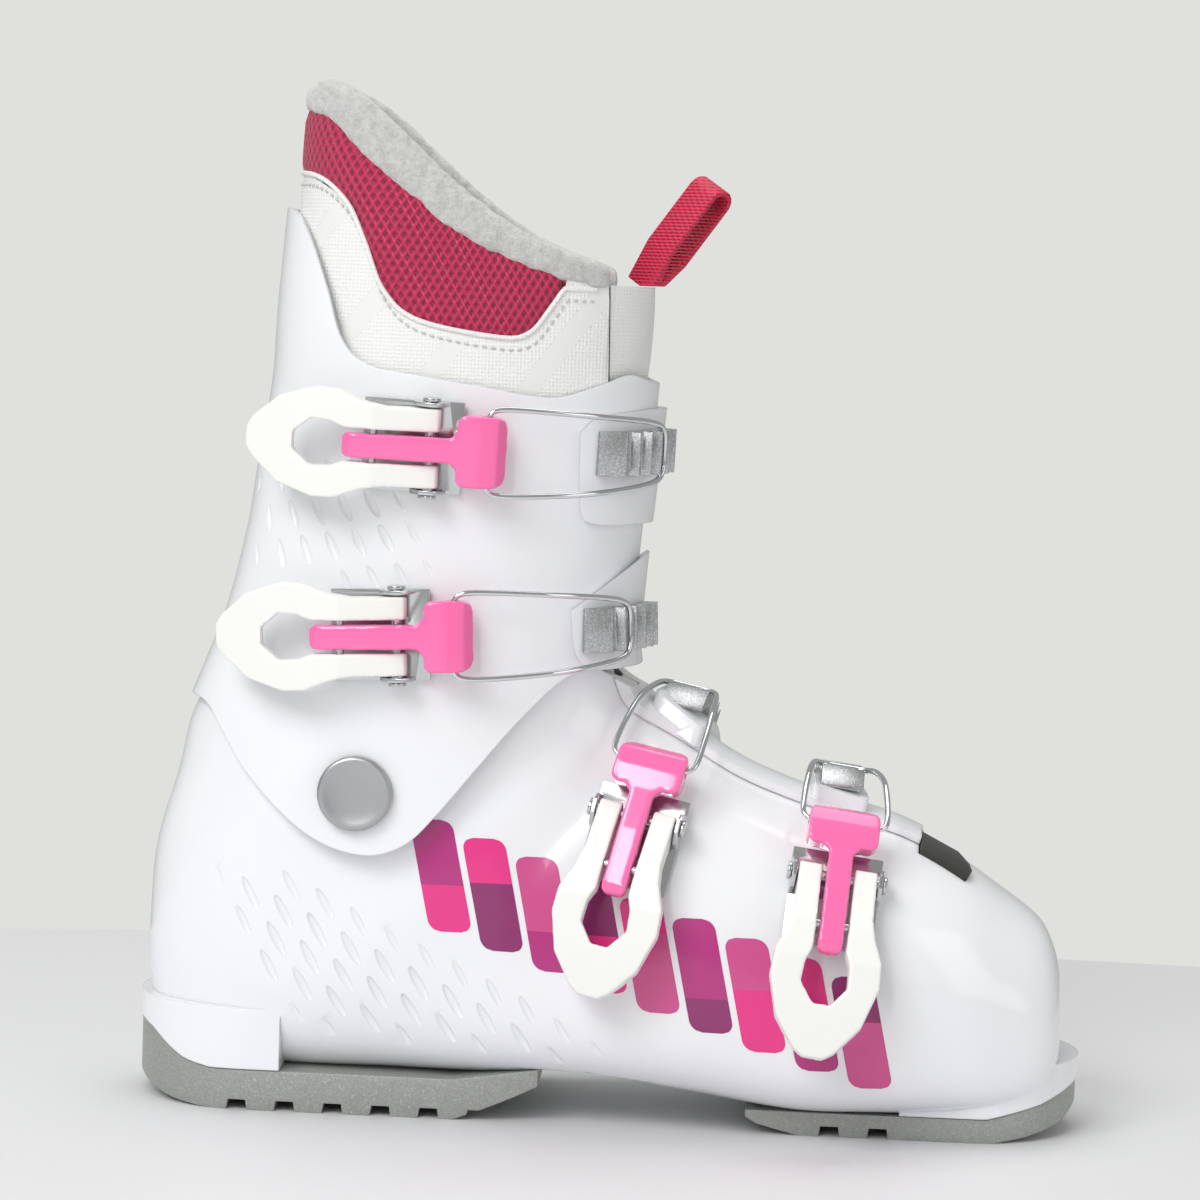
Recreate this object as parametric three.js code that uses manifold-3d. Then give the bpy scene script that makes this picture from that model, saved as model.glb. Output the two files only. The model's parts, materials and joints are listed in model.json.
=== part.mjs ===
// Alpine ski boot for the right foot: a plastic lower shell with a cuff hinged at the ankle, a soft
// liner, four lever buckles on the outer side and grey sole pads. Millimetres, +X towards the toe,
// +Y to the inner side, +Z up; the origin is on the ground under the middle of the boot.
import * as THREE from "three";
import { mergeVertices } from "three/addons/utils/BufferGeometryUtils.js";
import Module from "manifold-3d";

const wasm = await Module();
wasm.setup();

// ---------------------------------------------------------------- driving dimensions
const SOLE_LENGTH = 285; // heel lug to toe lug
const BOOT_HEIGHT = 305.5; // ground to the top of the fleece collar
const FOREFOOT_WIDTH = 102;
const HEEL_WIDTH = 76;
const ANKLE_WIDTH = 84; // lower shell at the cuff pivots
const CUFF_TOP_WIDTH = 98;
const TOE_LUG_WIDTH = 69;
const HEEL_LUG_WIDTH = 70;
const SHELL_WALL = 3.5;
const CUFF_WALL = 3;
const FLAP_WALL = 2.6;
const LINER_WALL = 7;
const SOLE_PLATE = 8; // solid plastic under the boot board
const BOARD_THICKNESS = 6;
const INSOLE_THICKNESS = 3;
const GAP = 0.3; // between pieces that touch
const CUFF_CLEARANCE = 0.7; // between the lower shell and the cuff that swings over it
const CUFF_FLEX = 5; // degrees of forward flex, short of where the cuff meets the instep bail
const PIVOT_HEAD_RADIUS = 11;
const PIVOT_SHANK_RADIUS = 5;
const WIRE_RADIUS = 0.95;
const LEVER_LENGTH = 54; // from its pivot to its tip
const ARM_SPREAD = 23; // across the lever's two arms
const YOKE_WIDTH = 20.8;
const STEM_WIDTH = 7.2;
const LADDER_WIDTH = 13;
const LADDER_PITCH = 4.6;
const TREAD_DEPTH = 3;
const TREAD_NOTCH = 7.2; // width of a notch across the sole
const TREAD_PITCH = 14.3;

// ---------------------------------------------------------------- grading
// Outlines are drawn for one boot size. Along X they stretch with the sole; above the sole lugs, which
// bindings fix in height, they stretch with the boot's height.
const DRAWN_LENGTH = 285;
const DRAWN_HEIGHT = 305.5;
const LUG_ZONE = 32;

const along = (x) => (x * SOLE_LENGTH) / DRAWN_LENGTH;
const upright = (z) =>
  z <= LUG_ZONE ? z : LUG_ZONE + ((z - LUG_ZONE) * (BOOT_HEIGHT - LUG_ZONE)) / (DRAWN_HEIGHT - LUG_ZONE);
const at = (x, z) => new THREE.Vector2(along(x), upright(z));
const outline = (...pairs) => pairs.map(([x, z]) => at(x, z));
const raised = (points, height) => points.map((p) => new THREE.Vector2(p.x, p.y + height));
const plan = (...pairs) => new THREE.Shape(pairs.map(([x, y]) => new THREE.Vector2(along(x), y)));

const radians = THREE.MathUtils.degToRad;

// ---------------------------------------------------------------- solids
function solidOf(geometry) {
  const bare = geometry.index ? geometry.toNonIndexed() : geometry.clone();
  bare.deleteAttribute("normal");
  bare.deleteAttribute("uv");
  const merged = mergeVertices(bare, 1e-4);
  return new wasm.Manifold(
    new wasm.Mesh({
      numProp: 3,
      vertProperties: merged.attributes.position.array,
      triVerts: new Uint32Array(merged.index.array),
    }),
  );
}

function geometryOf(solid) {
  const { vertProperties, triVerts } = solid.getMesh();
  const geometry = new THREE.BufferGeometry();
  geometry.setAttribute("position", new THREE.BufferAttribute(vertProperties, 3));
  geometry.setIndex(new THREE.BufferAttribute(triVerts, 1));
  return geometry;
}

const turned = (solid, matrix) => solidOf(geometryOf(solid).applyMatrix4(matrix));
const joined = (solids) => solids.reduce((sum, part) => sum.add(part));

const extruded = (shape, depth) =>
  new THREE.ExtrudeGeometry(shape, { depth, bevelEnabled: false, curveSegments: 6 });

// A side-view outline (x, z) made a prism from y = from to y = to.
const OUTSIDE = 100; // past either side of the boot
function sidePrism(points, from = -OUTSIDE, to = OUTSIDE) {
  const geometry = extruded(new THREE.Shape(points), to - from);
  geometry.rotateX(Math.PI / 2);
  geometry.translate(0, to, 0);
  return solidOf(geometry);
}

// A plan outline (x, y) made a prism from z = from to z = to.
function planPrism(shape, from, to) {
  const geometry = extruded(shape, to - from);
  geometry.translate(0, 0, from);
  return solidOf(geometry);
}

// Everything above or below a line that runs from the heel end to the toe end.
const FAR = 400;
const over = (line) => sidePrism([...line, new THREE.Vector2(FAR, FAR), new THREE.Vector2(-FAR, FAR)]);
const under = (line) => sidePrism([...line, new THREE.Vector2(FAR, -FAR), new THREE.Vector2(-FAR, -FAR)]);
const level = (height) => [new THREE.Vector2(-FAR, height), new THREE.Vector2(FAR, height)];

function crossPin(radius, x, z, from, to, segments = 16) {
  const geometry = new THREE.CylinderGeometry(radius, radius, to - from, segments);
  geometry.translate(x, (from + to) / 2, z);
  return solidOf(geometry);
}

// ---------------------------------------------------------------- skins
// A skin is a run of closed sections. Each section lies in a plane that holds Y: it spans from its
// front (or top) point to its back (or bottom) point, is half wide at its peak, and is rounded by one
// exponent in front of the peak and another behind it.
const station = (front, back, half, peak, frontPower, backPower, sway = 0) => ({
  front: at(...front),
  back: at(...back),
  half,
  peak,
  frontPower,
  backPower,
  sway,
});

function spline(a, b, c, d, t) {
  return 0.5 * (2 * b + (c - a) * t + (2 * a - 5 * b + 4 * c - d) * t * t + (3 * b - a - 3 * c + d) * t ** 3);
}

function blendStations(stations, index, t) {
  const pick = (i) => stations[Math.min(Math.max(i, 0), stations.length - 1)];
  const four = [pick(index - 1), pick(index), pick(index + 1), pick(index + 2)];
  const mix = (read) => spline(...four.map(read), t);
  return {
    front: new THREE.Vector2(mix((s) => s.front.x), mix((s) => s.front.y)),
    back: new THREE.Vector2(mix((s) => s.back.x), mix((s) => s.back.y)),
    half: mix((s) => s.half),
    peak: mix((s) => s.peak),
    frontPower: mix((s) => s.frontPower),
    backPower: mix((s) => s.backPower),
    sway: mix((s) => s.sway),
  };
}

function sectionPoint(section, grow, angle) {
  const axis = section.front.clone().sub(section.back);
  const span = axis.length();
  axis.normalize();
  const middle = section.back.clone().addScaledVector(axis, span * section.peak);
  const forward = Math.cos(angle);
  const side = Math.sin(angle);
  const power = 2 / (forward >= 0 ? section.frontPower : section.backPower);
  const reach = span * (forward >= 0 ? 1 - section.peak : section.peak) + grow;
  const run = Math.sign(forward) * Math.abs(forward) ** power * reach;
  const y = Math.sign(side) * Math.abs(side) ** power * (section.half + grow) + section.sway;
  return new THREE.Vector3(middle.x + axis.x * run, y, middle.y + axis.y * run);
}

function sectionPoints(section, grow, around) {
  const points = [];
  for (let i = 0; i < around; i += 1) {
    points.push(...sectionPoint(section, grow, (2 * Math.PI * i) / around).toArray());
  }
  return points;
}

function skin({ stations, steps, around }, grow = 0) {
  const rings = [];
  for (let i = 0; i < stations.length - 1; i += 1) {
    for (let k = 0; k < steps; k += 1) {
      rings.push(sectionPoints(blendStations(stations, i, k / steps), grow, around));
    }
  }
  rings.push(sectionPoints(stations[stations.length - 1], grow, around));
  const positions = rings.flat();
  const index = [];
  for (let r = 0; r < rings.length - 1; r += 1) {
    for (let i = 0; i < around; i += 1) {
      const a = r * around + i;
      const b = r * around + ((i + 1) % around);
      index.push(a, b, a + around, b, b + around, a + around);
    }
  }
  for (let i = 1; i < around - 1; i += 1) {
    const last = (rings.length - 1) * around;
    index.push(0, i + 1, i, last, last + i, last + i + 1);
  }
  const geometry = new THREE.BufferGeometry();
  geometry.setAttribute("position", new THREE.Float32BufferAttribute(positions, 3));
  geometry.setIndex(index);
  return solidOf(geometry);
}

// A place on a skin: a station number, counted in fractions, and an angle from the front or top,
// negative on the outer side. It gives the point, the outward normal and the way round to the front.
function placeOn(form, number, degrees, height = 0) {
  const pointAt = (where, angle) => {
    const index = Math.min(Math.floor(where), form.stations.length - 2);
    return sectionPoint(blendStations(form.stations, index, where - index), height, radians(angle));
  };
  const small = 0.05;
  const point = pointAt(number, degrees);
  const round = pointAt(number, degrees + small).sub(pointAt(number, degrees - small)).normalize();
  const run = pointAt(number + small, degrees).sub(pointAt(number - small, degrees)).normalize();
  const normal = new THREE.Vector3().crossVectors(run, round).normalize();
  return { point, round, normal: normal.dot(outwardAt(form, number, point)) < 0 ? normal.negate() : normal };
}

// From the middle of the section to a point on it.
function outwardAt(form, number, point) {
  const index = Math.min(Math.floor(number), form.stations.length - 2);
  const section = blendStations(form.stations, index, number - index);
  const middle = section.front.clone().add(section.back).multiplyScalar(0.5);
  return point.clone().sub(new THREE.Vector3(middle.x, 0, middle.y));
}

// ---------------------------------------------------------------- lower shell
const ball = FOREFOOT_WIDTH / 2;
const heel = HEEL_WIDTH / 2;
const ankle = ANKLE_WIDTH / 2;
const TOE_SOLE_TOP = 7;
const HEEL_SOLE_TOP = 12;
const HEEL_FLOOR = HEEL_SOLE_TOP + SOLE_PLATE;
const TOE_FLOOR = TOE_SOLE_TOP + SOLE_PLATE;
const PIVOT = at(-74.7, 97.7); // cuff hinge, seen from the side

const shellForm = {
  steps: 1,
  around: 24,
  stations: [
    station([136, 44], [135.6, 28], ball * 0.26, 0.5, 2, 2, 4),
    station([134.3, 53], [135.2, 15], ball * 0.5, 0.45, 2.2, 2.6, 4),
    station([129.3, 62], [130.5, 8], ball * 0.65, 0.42, 2.3, 3.2, 4),
    station([117, 71], [118, 6], ball * 0.79, 0.4, 2.4, 4, 3.5),
    station([104, 79.5], [103, 6], ball * 0.9, 0.4, 2.4, 4, 2.5),
    station([86, 88.5], [82, 6], ball * 0.98, 0.38, 2.3, 4, 1),
    station([62, 95.5], [56, 6], ball, 0.38, 2.2, 4, 0),
    station([38, 104.7], [24, 10], ball * 0.96, 0.4, 2.1, 4, -1),
    station([20, 116], [-12, 12], ball * 0.89, 0.42, 2.1, 4, -1),
    station([9, 123.5], [-62, 11], (ball * 0.84 + heel) / 2, 0.46, 2.2, 3.6, 0),
    station([5.8, 127], [-112, 11], heel * 1.06, 0.5, 2.3, 3, 0),
    station([4, 131], [-137, 24], heel * 1.04, 0.52, 2.4, 2.5, 0),
    station([2, 136], [-139.8, 68], heel * 1.07, 0.52, 2.4, 2.3, 0),
    station([0.5, 141], [-133, 98], ankle, 0.5, 2.4, 2.2, 0),
    station([-1, 147], [-128.5, 117], ankle, 0.5, 2.4, 2.2, 0),
    station([-3, 154], [-117, 136], ankle, 0.5, 2.4, 2.2, 0),
    station([-5, 166], [-101, 152], ankle, 0.5, 2.4, 2.2, 0),
  ],
};

const shellRim = outline(
  [-200, 138], [-116, 138], [-96, 146], [-40, 146], [-14, 139], [2, 130], [8, 128], [200, 128],
);
const belowRim = (extra = 0) => under(raised(shellRim, extra));
const pivotHole = () => crossPin(PIVOT_SHANK_RADIUS + GAP, PIVOT.x, PIVOT.y, -OUTSIDE, OUTSIDE);
const soleProfile = outline(
  [-200, 26], [-150, 26], [-136, 21], [-126, 14.5], [-117, 12.3], [-44, 12.3], [-19, 16.3], [4, 15.5],
  [38, 9.4], [42, 7.3], [114, 7.3], [130, 11], [150, 19], [200, 19],
);
const aboveSole = () => over(soleProfile);
const floorLine = outline([-200, HEEL_FLOOR], [-20, HEEL_FLOOR], [45, TOE_FLOOR], [200, TOE_FLOOR]);
const aboveFloor = (extra) => over(raised(floorLine, extra));

// A lug's plan outline: straight sides that close in an end arc.
function lugShape(inner, end, width) {
  const half = width / 2;
  const toward = Math.sign(end - inner);
  const shape = new THREE.Shape();
  shape.moveTo(inner, -half);
  shape.lineTo(end - toward * half, -half);
  shape.absellipse(end - toward * half, 0, half, half, -Math.PI / 2, Math.PI / 2, toward < 0);
  shape.lineTo(inner, half);
  return shape;
}

const TOE_LUG_TOP = 22.5;
const HEEL_LUG_TOP = 30.5;
const toeLug = () => planPrism(lugShape(along(88), SOLE_LENGTH / 2, TOE_LUG_WIDTH), 0, TOE_LUG_TOP);
const heelLug = () => planPrism(lugShape(along(-96), -SOLE_LENGTH / 2, HEEL_LUG_WIDTH), 0, HEEL_LUG_TOP);

// The room inside a boot-shaped skin's wall, which closes its toe end too.
function inside(form, wall) {
  const end = form.stations[0].back.x - wall;
  const reach = [[-FAR, -FAR], [end, -FAR], [end, FAR], [-FAR, FAR]].map(([x, z]) => new THREE.Vector2(x, z));
  return skin(form, -wall).intersect(sidePrism(reach));
}

// A thin plate that follows a skin between two heights above it, inside a cutting solid.
const layer = (form, inner, outer, cutter) => skin(form, outer).subtract(skin(form, inner)).intersect(cutter);

const INSTEP_SLIT = [2, 3.6]; // from y to y
const FLAP_REACH = 26; // how far round the inner side a flap stands proud
const ROOT_OVERLAP = 1; // how deep a flap's root is sunk in the wall that it grows from

// The instep flap grows from the inner side of the slit and lies over it.
function instepFlap(extra = 0) {
  const low = upright(80);
  const high = upright(142);
  const lid = plan([-14, -22], [6, -16], [93, -13], [93, FLAP_REACH], [-14, FLAP_REACH]);
  const root = plan([-14, INSTEP_SLIT[1]], [93, INSTEP_SLIT[1]], [93, FLAP_REACH], [-14, FLAP_REACH]);
  const cover = layer(shellForm, GAP, GAP + FLAP_WALL + extra, planPrism(lid, low, high));
  return cover.add(layer(shellForm, -ROOT_OVERLAP, GAP + ROOT_OVERLAP, planPrism(root, low, high)));
}

const plugCentre = at(97.5, 82);
const plugOutline = outline([93, 90], [90.5, 80], [93.3, 77.5], [104.4, 75.5], [107.5, 78], [96, 90]);
const PLUG_SPAN = [-19, -1];
const PLUG_DEPTH = 2;
const PLUG_GROWTH = 1.06; // the pocket's outline over the plug's
const toePlug = () => layer(shellForm, -PLUG_DEPTH, FLAP_WALL, sidePrism(plugOutline, ...PLUG_SPAN));
function toePlugPocket() {
  const grown = plugOutline.map((p) => p.clone().sub(plugCentre).multiplyScalar(PLUG_GROWTH).add(plugCentre));
  const cutter = sidePrism(grown, PLUG_SPAN[0] - GAP, PLUG_SPAN[1] + GAP);
  return layer(shellForm, -PLUG_DEPTH - GAP, 2 * FLAP_WALL, cutter);
}

function lowerShell() {
  const outer = skin(shellForm).add(toeLug()).add(heelLug()).intersect(aboveSole());
  const hollow = inside(shellForm, SHELL_WALL).intersect(aboveFloor(0));
  const slit = sidePrism(outline([-20, 110], [88, 70], [88, 110], [20, 160], [-20, 160]), ...INSTEP_SLIT);
  return outer
    .subtract(hollow)
    .subtract(slit)
    .add(instepFlap())
    .add(joined(laidBuckles.filter((buckle) => buckle.pad > 0).map(ladderPad)))
    .subtract(toePlugPocket())
    .intersect(belowRim())
    .subtract(pivotHole());
}

// ---------------------------------------------------------------- cuff
const cuffTop = CUFF_TOP_WIDTH / 2;
const cuffWaist = ankle + CUFF_CLEARANCE + CUFF_WALL;

const cuffForm = {
  steps: 1,
  around: 24,
  stations: [
    station([14, 86], [-146, 62], cuffWaist, 0.5, 2.3, 2.2),
    station([9, 112], [-139, 88], cuffWaist, 0.5, 2.3, 2.2),
    station([3.5, 134], [-131.5, 116], cuffWaist + 0.5, 0.5, 2.3, 2.2),
    station([3, 150], [-120.5, 146], cuffWaist + 1, 0.48, 2.3, 2.2),
    station([4.4, 172], [-114.4, 172], cuffWaist + 1.5, 0.46, 2.2, 2.2),
    station([6.2, 193], [-111.3, 194.5], cuffTop - 1, 0.45, 2.2, 2.2),
    station([8, 216], [-107.9, 217], cuffTop, 0.44, 2.2, 2.3),
    station([8.5, 240], [-106.8, 240], cuffTop - 1, 0.44, 2.2, 2.4),
    station([8, 272], [-104.7, 269], cuffTop - 4, 0.44, 2.2, 2.5),
  ],
};

const cuffEdge = outline(
  [-140, 121], [-124, 121], [-117, 114], [-110, 104], [-100, 93.5], [-90, 85.5], [-80, 80.8], [-69, 79.5],
  [-59, 83.5], [-50, 93], [-39, 106.8], [-27.7, 120.5], [-16, 132], [-5, 136.7], [20, 138],
  [20, 219], [8, 219.5], [0, 222], [-8, 219], [-22, 215], [-43, 217.7], [-60, 220], [-75, 222.5],
  [-83, 229.5], [-88, 243.6], [-94, 258], [-100, 266.3], [-108, 267.5], [-140, 267.5],
);
const CUFF_SLIT = [8, 9.6]; // from y to y
const SWEEP_STEPS = 6;

const tabOutlines = [
  outline([-13, 205], [-12.4, 183], [-8.5, 178.3], [26, 178], [26, 212.5], [6, 212], [-8, 209.5]),
  outline([-14, 153], [-12.3, 140], [-7, 135.5], [26, 135.5], [26, 169], [6, 168.5], [-6, 159]),
];

function cuffTab(tabOutline) {
  const cover = layer(cuffForm, GAP, GAP + FLAP_WALL, sidePrism(tabOutline, -OUTSIDE, FLAP_REACH));
  const root = sidePrism(tabOutline, CUFF_SLIT[1], FLAP_REACH);
  return cover.add(layer(cuffForm, -ROOT_OVERLAP, GAP + ROOT_OVERLAP, root));
}

// The cuff is cut to clear the lower shell at every angle of its flex.
function shellSweep() {
  const room = skin(shellForm, CUFF_CLEARANCE).add(instepFlap(CUFF_CLEARANCE)).intersect(belowRim());
  const swept = [];
  for (let step = 0; step <= SWEEP_STEPS; step += 1) {
    const angle = radians((-CUFF_FLEX * step) / SWEEP_STEPS);
    const turn = new THREE.Matrix4()
      .makeTranslation(PIVOT.x, 0, PIVOT.y)
      .multiply(new THREE.Matrix4().makeRotationY(angle))
      .multiply(new THREE.Matrix4().makeTranslation(-PIVOT.x, 0, -PIVOT.y));
    swept.push(turned(room, turn));
  }
  return joined(swept);
}

function cuff() {
  const slit = sidePrism(outline([-20, 60], [40, 60], [40, 300], [-20, 300]), ...CUFF_SLIT);
  return skin(cuffForm)
    .subtract(skin(cuffForm, -CUFF_WALL))
    .intersect(sidePrism(cuffEdge))
    .subtract(slit)
    .add(joined(tabOutlines.map(cuffTab)))
    .subtract(shellSweep())
    .subtract(pivotHole());
}

// ---------------------------------------------------------------- liner
const LINER_GAP = 0.6;
const LINER_OVERLAP = 3; // height over which the rooms in the shell and in the cuff overlap
const LINER_SOLE = 4;
const BOARD_TOP = BOARD_THICKNESS + 2 * GAP; // above the shell's floor

const linerForm = {
  steps: 1,
  around: 16,
  stations: [
    station([131, 46], [131, 26], ball * 0.26, 0.5, 2, 2, 4),
    station([127, 57], [129, 12], ball * 0.5, 0.45, 2.2, 2.8, 4),
    station([106, 76], [106, 12], ball * 0.84, 0.4, 2.3, 4, 2.5),
    station([82, 87], [80, 12], ball * 0.92, 0.38, 2.3, 4, 1),
    station([54, 95], [50, 12], ball * 0.92, 0.38, 2.2, 4, 0),
    station([28, 108], [18, 14], ball * 0.88, 0.4, 2.2, 4, -1),
    station([10, 119], [-30, 14], ball * 0.8, 0.42, 2.2, 4, 0),
    station([1, 128], [-96, 14], heel - 1, 0.5, 2.3, 3, 0),
    station([-1.5, 135], [-134, 40], heel - 1, 0.52, 2.3, 2.4, 0),
    station([-3, 143], [-131, 92], ankle - 2, 0.5, 2.3, 2.2, 0),
    station([-2.5, 152], [-118, 122], ankle - 2, 0.5, 2.3, 2.2, 0),
    station([-0.5, 166], [-111, 152], cuffWaist - 3.5, 0.48, 2.2, 2.2, 0),
    station([2, 186], [-108.5, 182], cuffTop - 4, 0.46, 2.2, 2.2, 0),
    station([4.5, 208], [-104.6, 210], cuffTop - 4, 0.45, 2.2, 2.3, 0),
    station([7, 230], [-103, 238], cuffTop - 5.5, 0.44, 2.2, 2.4, 0),
    station([7, 252], [-101, 270], cuffTop - 7, 0.43, 2.3, 2.5, 0),
    station([3, 282], [-99, 312], cuffTop - 9, 0.42, 2.3, 2.5, 0),
  ],
};

// What the lower shell's wall takes up above the ankle, with a gap round it.
const shellWallRoom = () => layer(shellForm, -SHELL_WALL - LINER_GAP, LINER_GAP, belowRim(2 * LINER_GAP));

// The room that the shell and the cuff leave for the liner.
function linerRoom() {
  const ankleLine = outline([-200, 118], [-60, 118], [10, 112], [200, 112]);
  const inShell = inside(shellForm, SHELL_WALL + LINER_GAP).intersect(under(raised(ankleLine, LINER_OVERLAP)));
  const cuffRoom = skin(cuffForm, -CUFF_WALL - LINER_GAP);
  const inCuff = cuffRoom.intersect(over(ankleLine)).subtract(shellWallRoom());
  const clearOfCuff = cuffRoom.add(over(level(upright(268))));
  const atCollar = skin(linerForm).intersect(over(level(upright(220)))).intersect(clearOfCuff);
  return joined([inShell, inCuff, atCollar]).intersect(aboveFloor(BOARD_TOP));
}

function linerRing() {
  const hollow = inside(linerForm, LINER_WALL).intersect(aboveFloor(BOARD_TOP + LINER_SOLE));
  return skin(linerForm).intersect(linerRoom()).subtract(hollow);
}

// The tongue is the front of the liner, from the toes to the top of the shin.
const tongueOutline = (setBack) =>
  outline(
    [76, 130], [72 + setBack, 84 - setBack], [40, 88 - setBack], [18, 97 - setBack],
    [-2 - setBack, 114 - setBack], [-12 - setBack, 140], [-9 - setBack, 180], [-6 - setBack, 214],
    [-7 - setBack, 262], [40, 262],
  );
const LINER_SPLIT = 213; // height where the boot-shaped liner ends and its shaft panels begin
const collarTop = [
  [-104, 298], [-99, 303], [-92.6, 305.5], [-85, 303.6], [-72.7, 295.1], [-57.1, 280.8],
  [-41.7, 268.8], [-29.4, 261.5], [-20.3, 258], [-11.2, 255], [-3.6, 252.5], [10, 250],
];
const fleeceFront = [[10, 244.5], [-2.7, 245.8], [-19, 248.1]];
const fleeceBack = [
  [-26.8, 250.7], [-38.6, 254.6], [-53.4, 262.7], [-68.4, 273.8], [-80.4, 283.5], [-93.3, 294.6], [-120, 296],
];
const panelEdge = [
  [-120, 277.5], [-96.2, 277.5], [-84.3, 269.9], [-78.1, 258.5], [-71.8, 244.2],
  [-61.3, 235.9], [-37.7, 231.8], [-29, 233.3], [-23.5, 240.2], [-19.5, 246.5],
];
const shifted = (pairs, x, z) => pairs.map((pair) => [pair[0] + x, pair[1] + z]);

const liner = () =>
  linerRing()
    .subtract(sidePrism(tongueOutline(0)))
    .intersect(under(level(upright(LINER_SPLIT) - GAP)));
const TONGUE_TOP = 248;
const tongue = () =>
  linerRing()
    .intersect(sidePrism(tongueOutline(-GAP)))
    .intersect(under(level(upright(TONGUE_TOP))));

function shaftRing() {
  return linerRing()
    .subtract(sidePrism(tongueOutline(0)))
    .intersect(over(level(upright(LINER_SPLIT))));
}

// The woven quarter reaches up to the mesh panel behind and to the fleece collar in front.
function quarterPanel() {
  const low = outline([-200, LINER_SPLIT], [40, LINER_SPLIT]);
  const high = outline(...shifted(fleeceFront, 0, -GAP), ...panelEdge.slice().reverse());
  return shaftRing().intersect(sidePrism([...low, at(40, 244), ...high, at(-200, 277.5)]));
}
function meshPanel() {
  const low = outline(...shifted(panelEdge, 0, 3 * GAP));
  const high = outline(...shifted([fleeceFront[2], ...fleeceBack], -GAP, -2 * GAP));
  return shaftRing().intersect(sidePrism([...low, ...high]));
}
const COLLAR_PROUD = 1.2;
function fleeceCollar() {
  const band = outline(...collarTop, ...fleeceFront, ...fleeceBack);
  const roll = skin(linerForm, COLLAR_PROUD).subtract(skin(linerForm, -LINER_WALL - COLLAR_PROUD));
  return roll.intersect(sidePrism(band)).subtract(sidePrism(tongueOutline(0)));
}

function insole() {
  const room = inside(linerForm, LINER_WALL + GAP);
  const top = BOARD_TOP + LINER_SOLE + GAP;
  return room.intersect(aboveFloor(top)).subtract(aboveFloor(top + INSOLE_THICKNESS));
}

function bootBoard() {
  const room = inside(shellForm, SHELL_WALL + GAP);
  return room.intersect(aboveFloor(GAP)).subtract(aboveFloor(GAP + BOARD_THICKNESS));
}

// A webbing loop sewn to the top of the tongue: two layers at its foot that open into a finger loop.
const LOOP_WIDTH = 11;
const LOOP_LENGTH = 38;
const WEB_THICKNESS = 1.5;
const LOOP_OPENING = 6;
const LOOP_LEAN = 35; // degrees forward of upright
const LOOP_TWIST = 50; // degrees that its broad face turns to the outer side
function pullLoop() {
  const half = LOOP_OPENING / 2 + WEB_THICKNESS;
  const shape = new THREE.Shape();
  shape.moveTo(-WEB_THICKNESS, 0);
  shape.lineTo(-half, LOOP_LENGTH / 3);
  shape.lineTo(-half, LOOP_LENGTH - half);
  shape.absarc(0, LOOP_LENGTH - half, half, Math.PI, 0, true);
  shape.lineTo(half, LOOP_LENGTH / 3);
  shape.lineTo(WEB_THICKNESS, 0);
  const hole = new THREE.Path();
  hole.moveTo(0, LOOP_LENGTH / 8);
  hole.lineTo(half - WEB_THICKNESS, LOOP_LENGTH / 3);
  hole.lineTo(half - WEB_THICKNESS, LOOP_LENGTH - half);
  hole.absarc(0, LOOP_LENGTH - half, half - WEB_THICKNESS, 0, Math.PI, false);
  hole.lineTo(WEB_THICKNESS - half, LOOP_LENGTH / 3);
  shape.holes.push(hole);
  const geometry = extruded(shape, LOOP_WIDTH).translate(0, 0, -LOOP_WIDTH / 2);
  geometry.rotateX(Math.PI / 2).rotateZ(radians(LOOP_TWIST));
  geometry.rotateY(radians(LOOP_LEAN));
  const foot = at(1.5, TONGUE_TOP);
  geometry.translate(foot.x, 0, foot.y);
  return solidOf(geometry).intersect(over(level(foot.y + GAP)));
}

// ---------------------------------------------------------------- sole pads and pivots
const NOTCH_TAPER = 1; // how much a notch closes in on each side
const HEEL_NOTCHES = 6;
const TOE_NOTCHES = 2;

const belowShell = () => under(raised(soleProfile, -GAP));

function notches(first, count) {
  const cuts = [];
  for (let i = 0; i < count; i += 1) {
    const start = along(first) + i * TREAD_PITCH;
    const corners = [
      [start, -TREAD_DEPTH], [start + TREAD_NOTCH, -TREAD_DEPTH],
      [start + TREAD_NOTCH - NOTCH_TAPER, TREAD_DEPTH], [start + NOTCH_TAPER, TREAD_DEPTH],
    ];
    cuts.push(sidePrism(corners.map(([x, z]) => new THREE.Vector2(x, z))));
  }
  return joined(cuts);
}

const PAD_INSET = 0.5; // the sole pads stay this far inside the lugs' outline
function heelSole() {
  const side = outline(
    [-142, 6.4], [-128, 1.2], [-118, 0], [-44, 0], [-36, 3], [-19, 11], [-19, LUG_ZONE], [-142, LUG_ZONE],
  );
  const shape = lugShape(along(-19), PAD_INSET - SOLE_LENGTH / 2, HEEL_LUG_WIDTH - 2 * PAD_INSET);
  const block = planPrism(shape, 0, LUG_ZONE).intersect(sidePrism(side));
  return block.intersect(belowShell()).subtract(notches(-112, HEEL_NOTCHES));
}

function toeSole() {
  const side = outline(
    [42.6, LUG_ZONE], [42.6, 5], [52, 1.5], [58, 0], [116, 0], [136, 4.5], [142.2, 9], [142.2, LUG_ZONE],
  );
  const shape = lugShape(along(42.6), SOLE_LENGTH / 2 - PAD_INSET, TOE_LUG_WIDTH - 2 * PAD_INSET);
  const block = planPrism(shape, 0, LUG_ZONE).intersect(sidePrism(side));
  return block.intersect(belowShell()).subtract(notches(64, TOE_NOTCHES));
}

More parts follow.
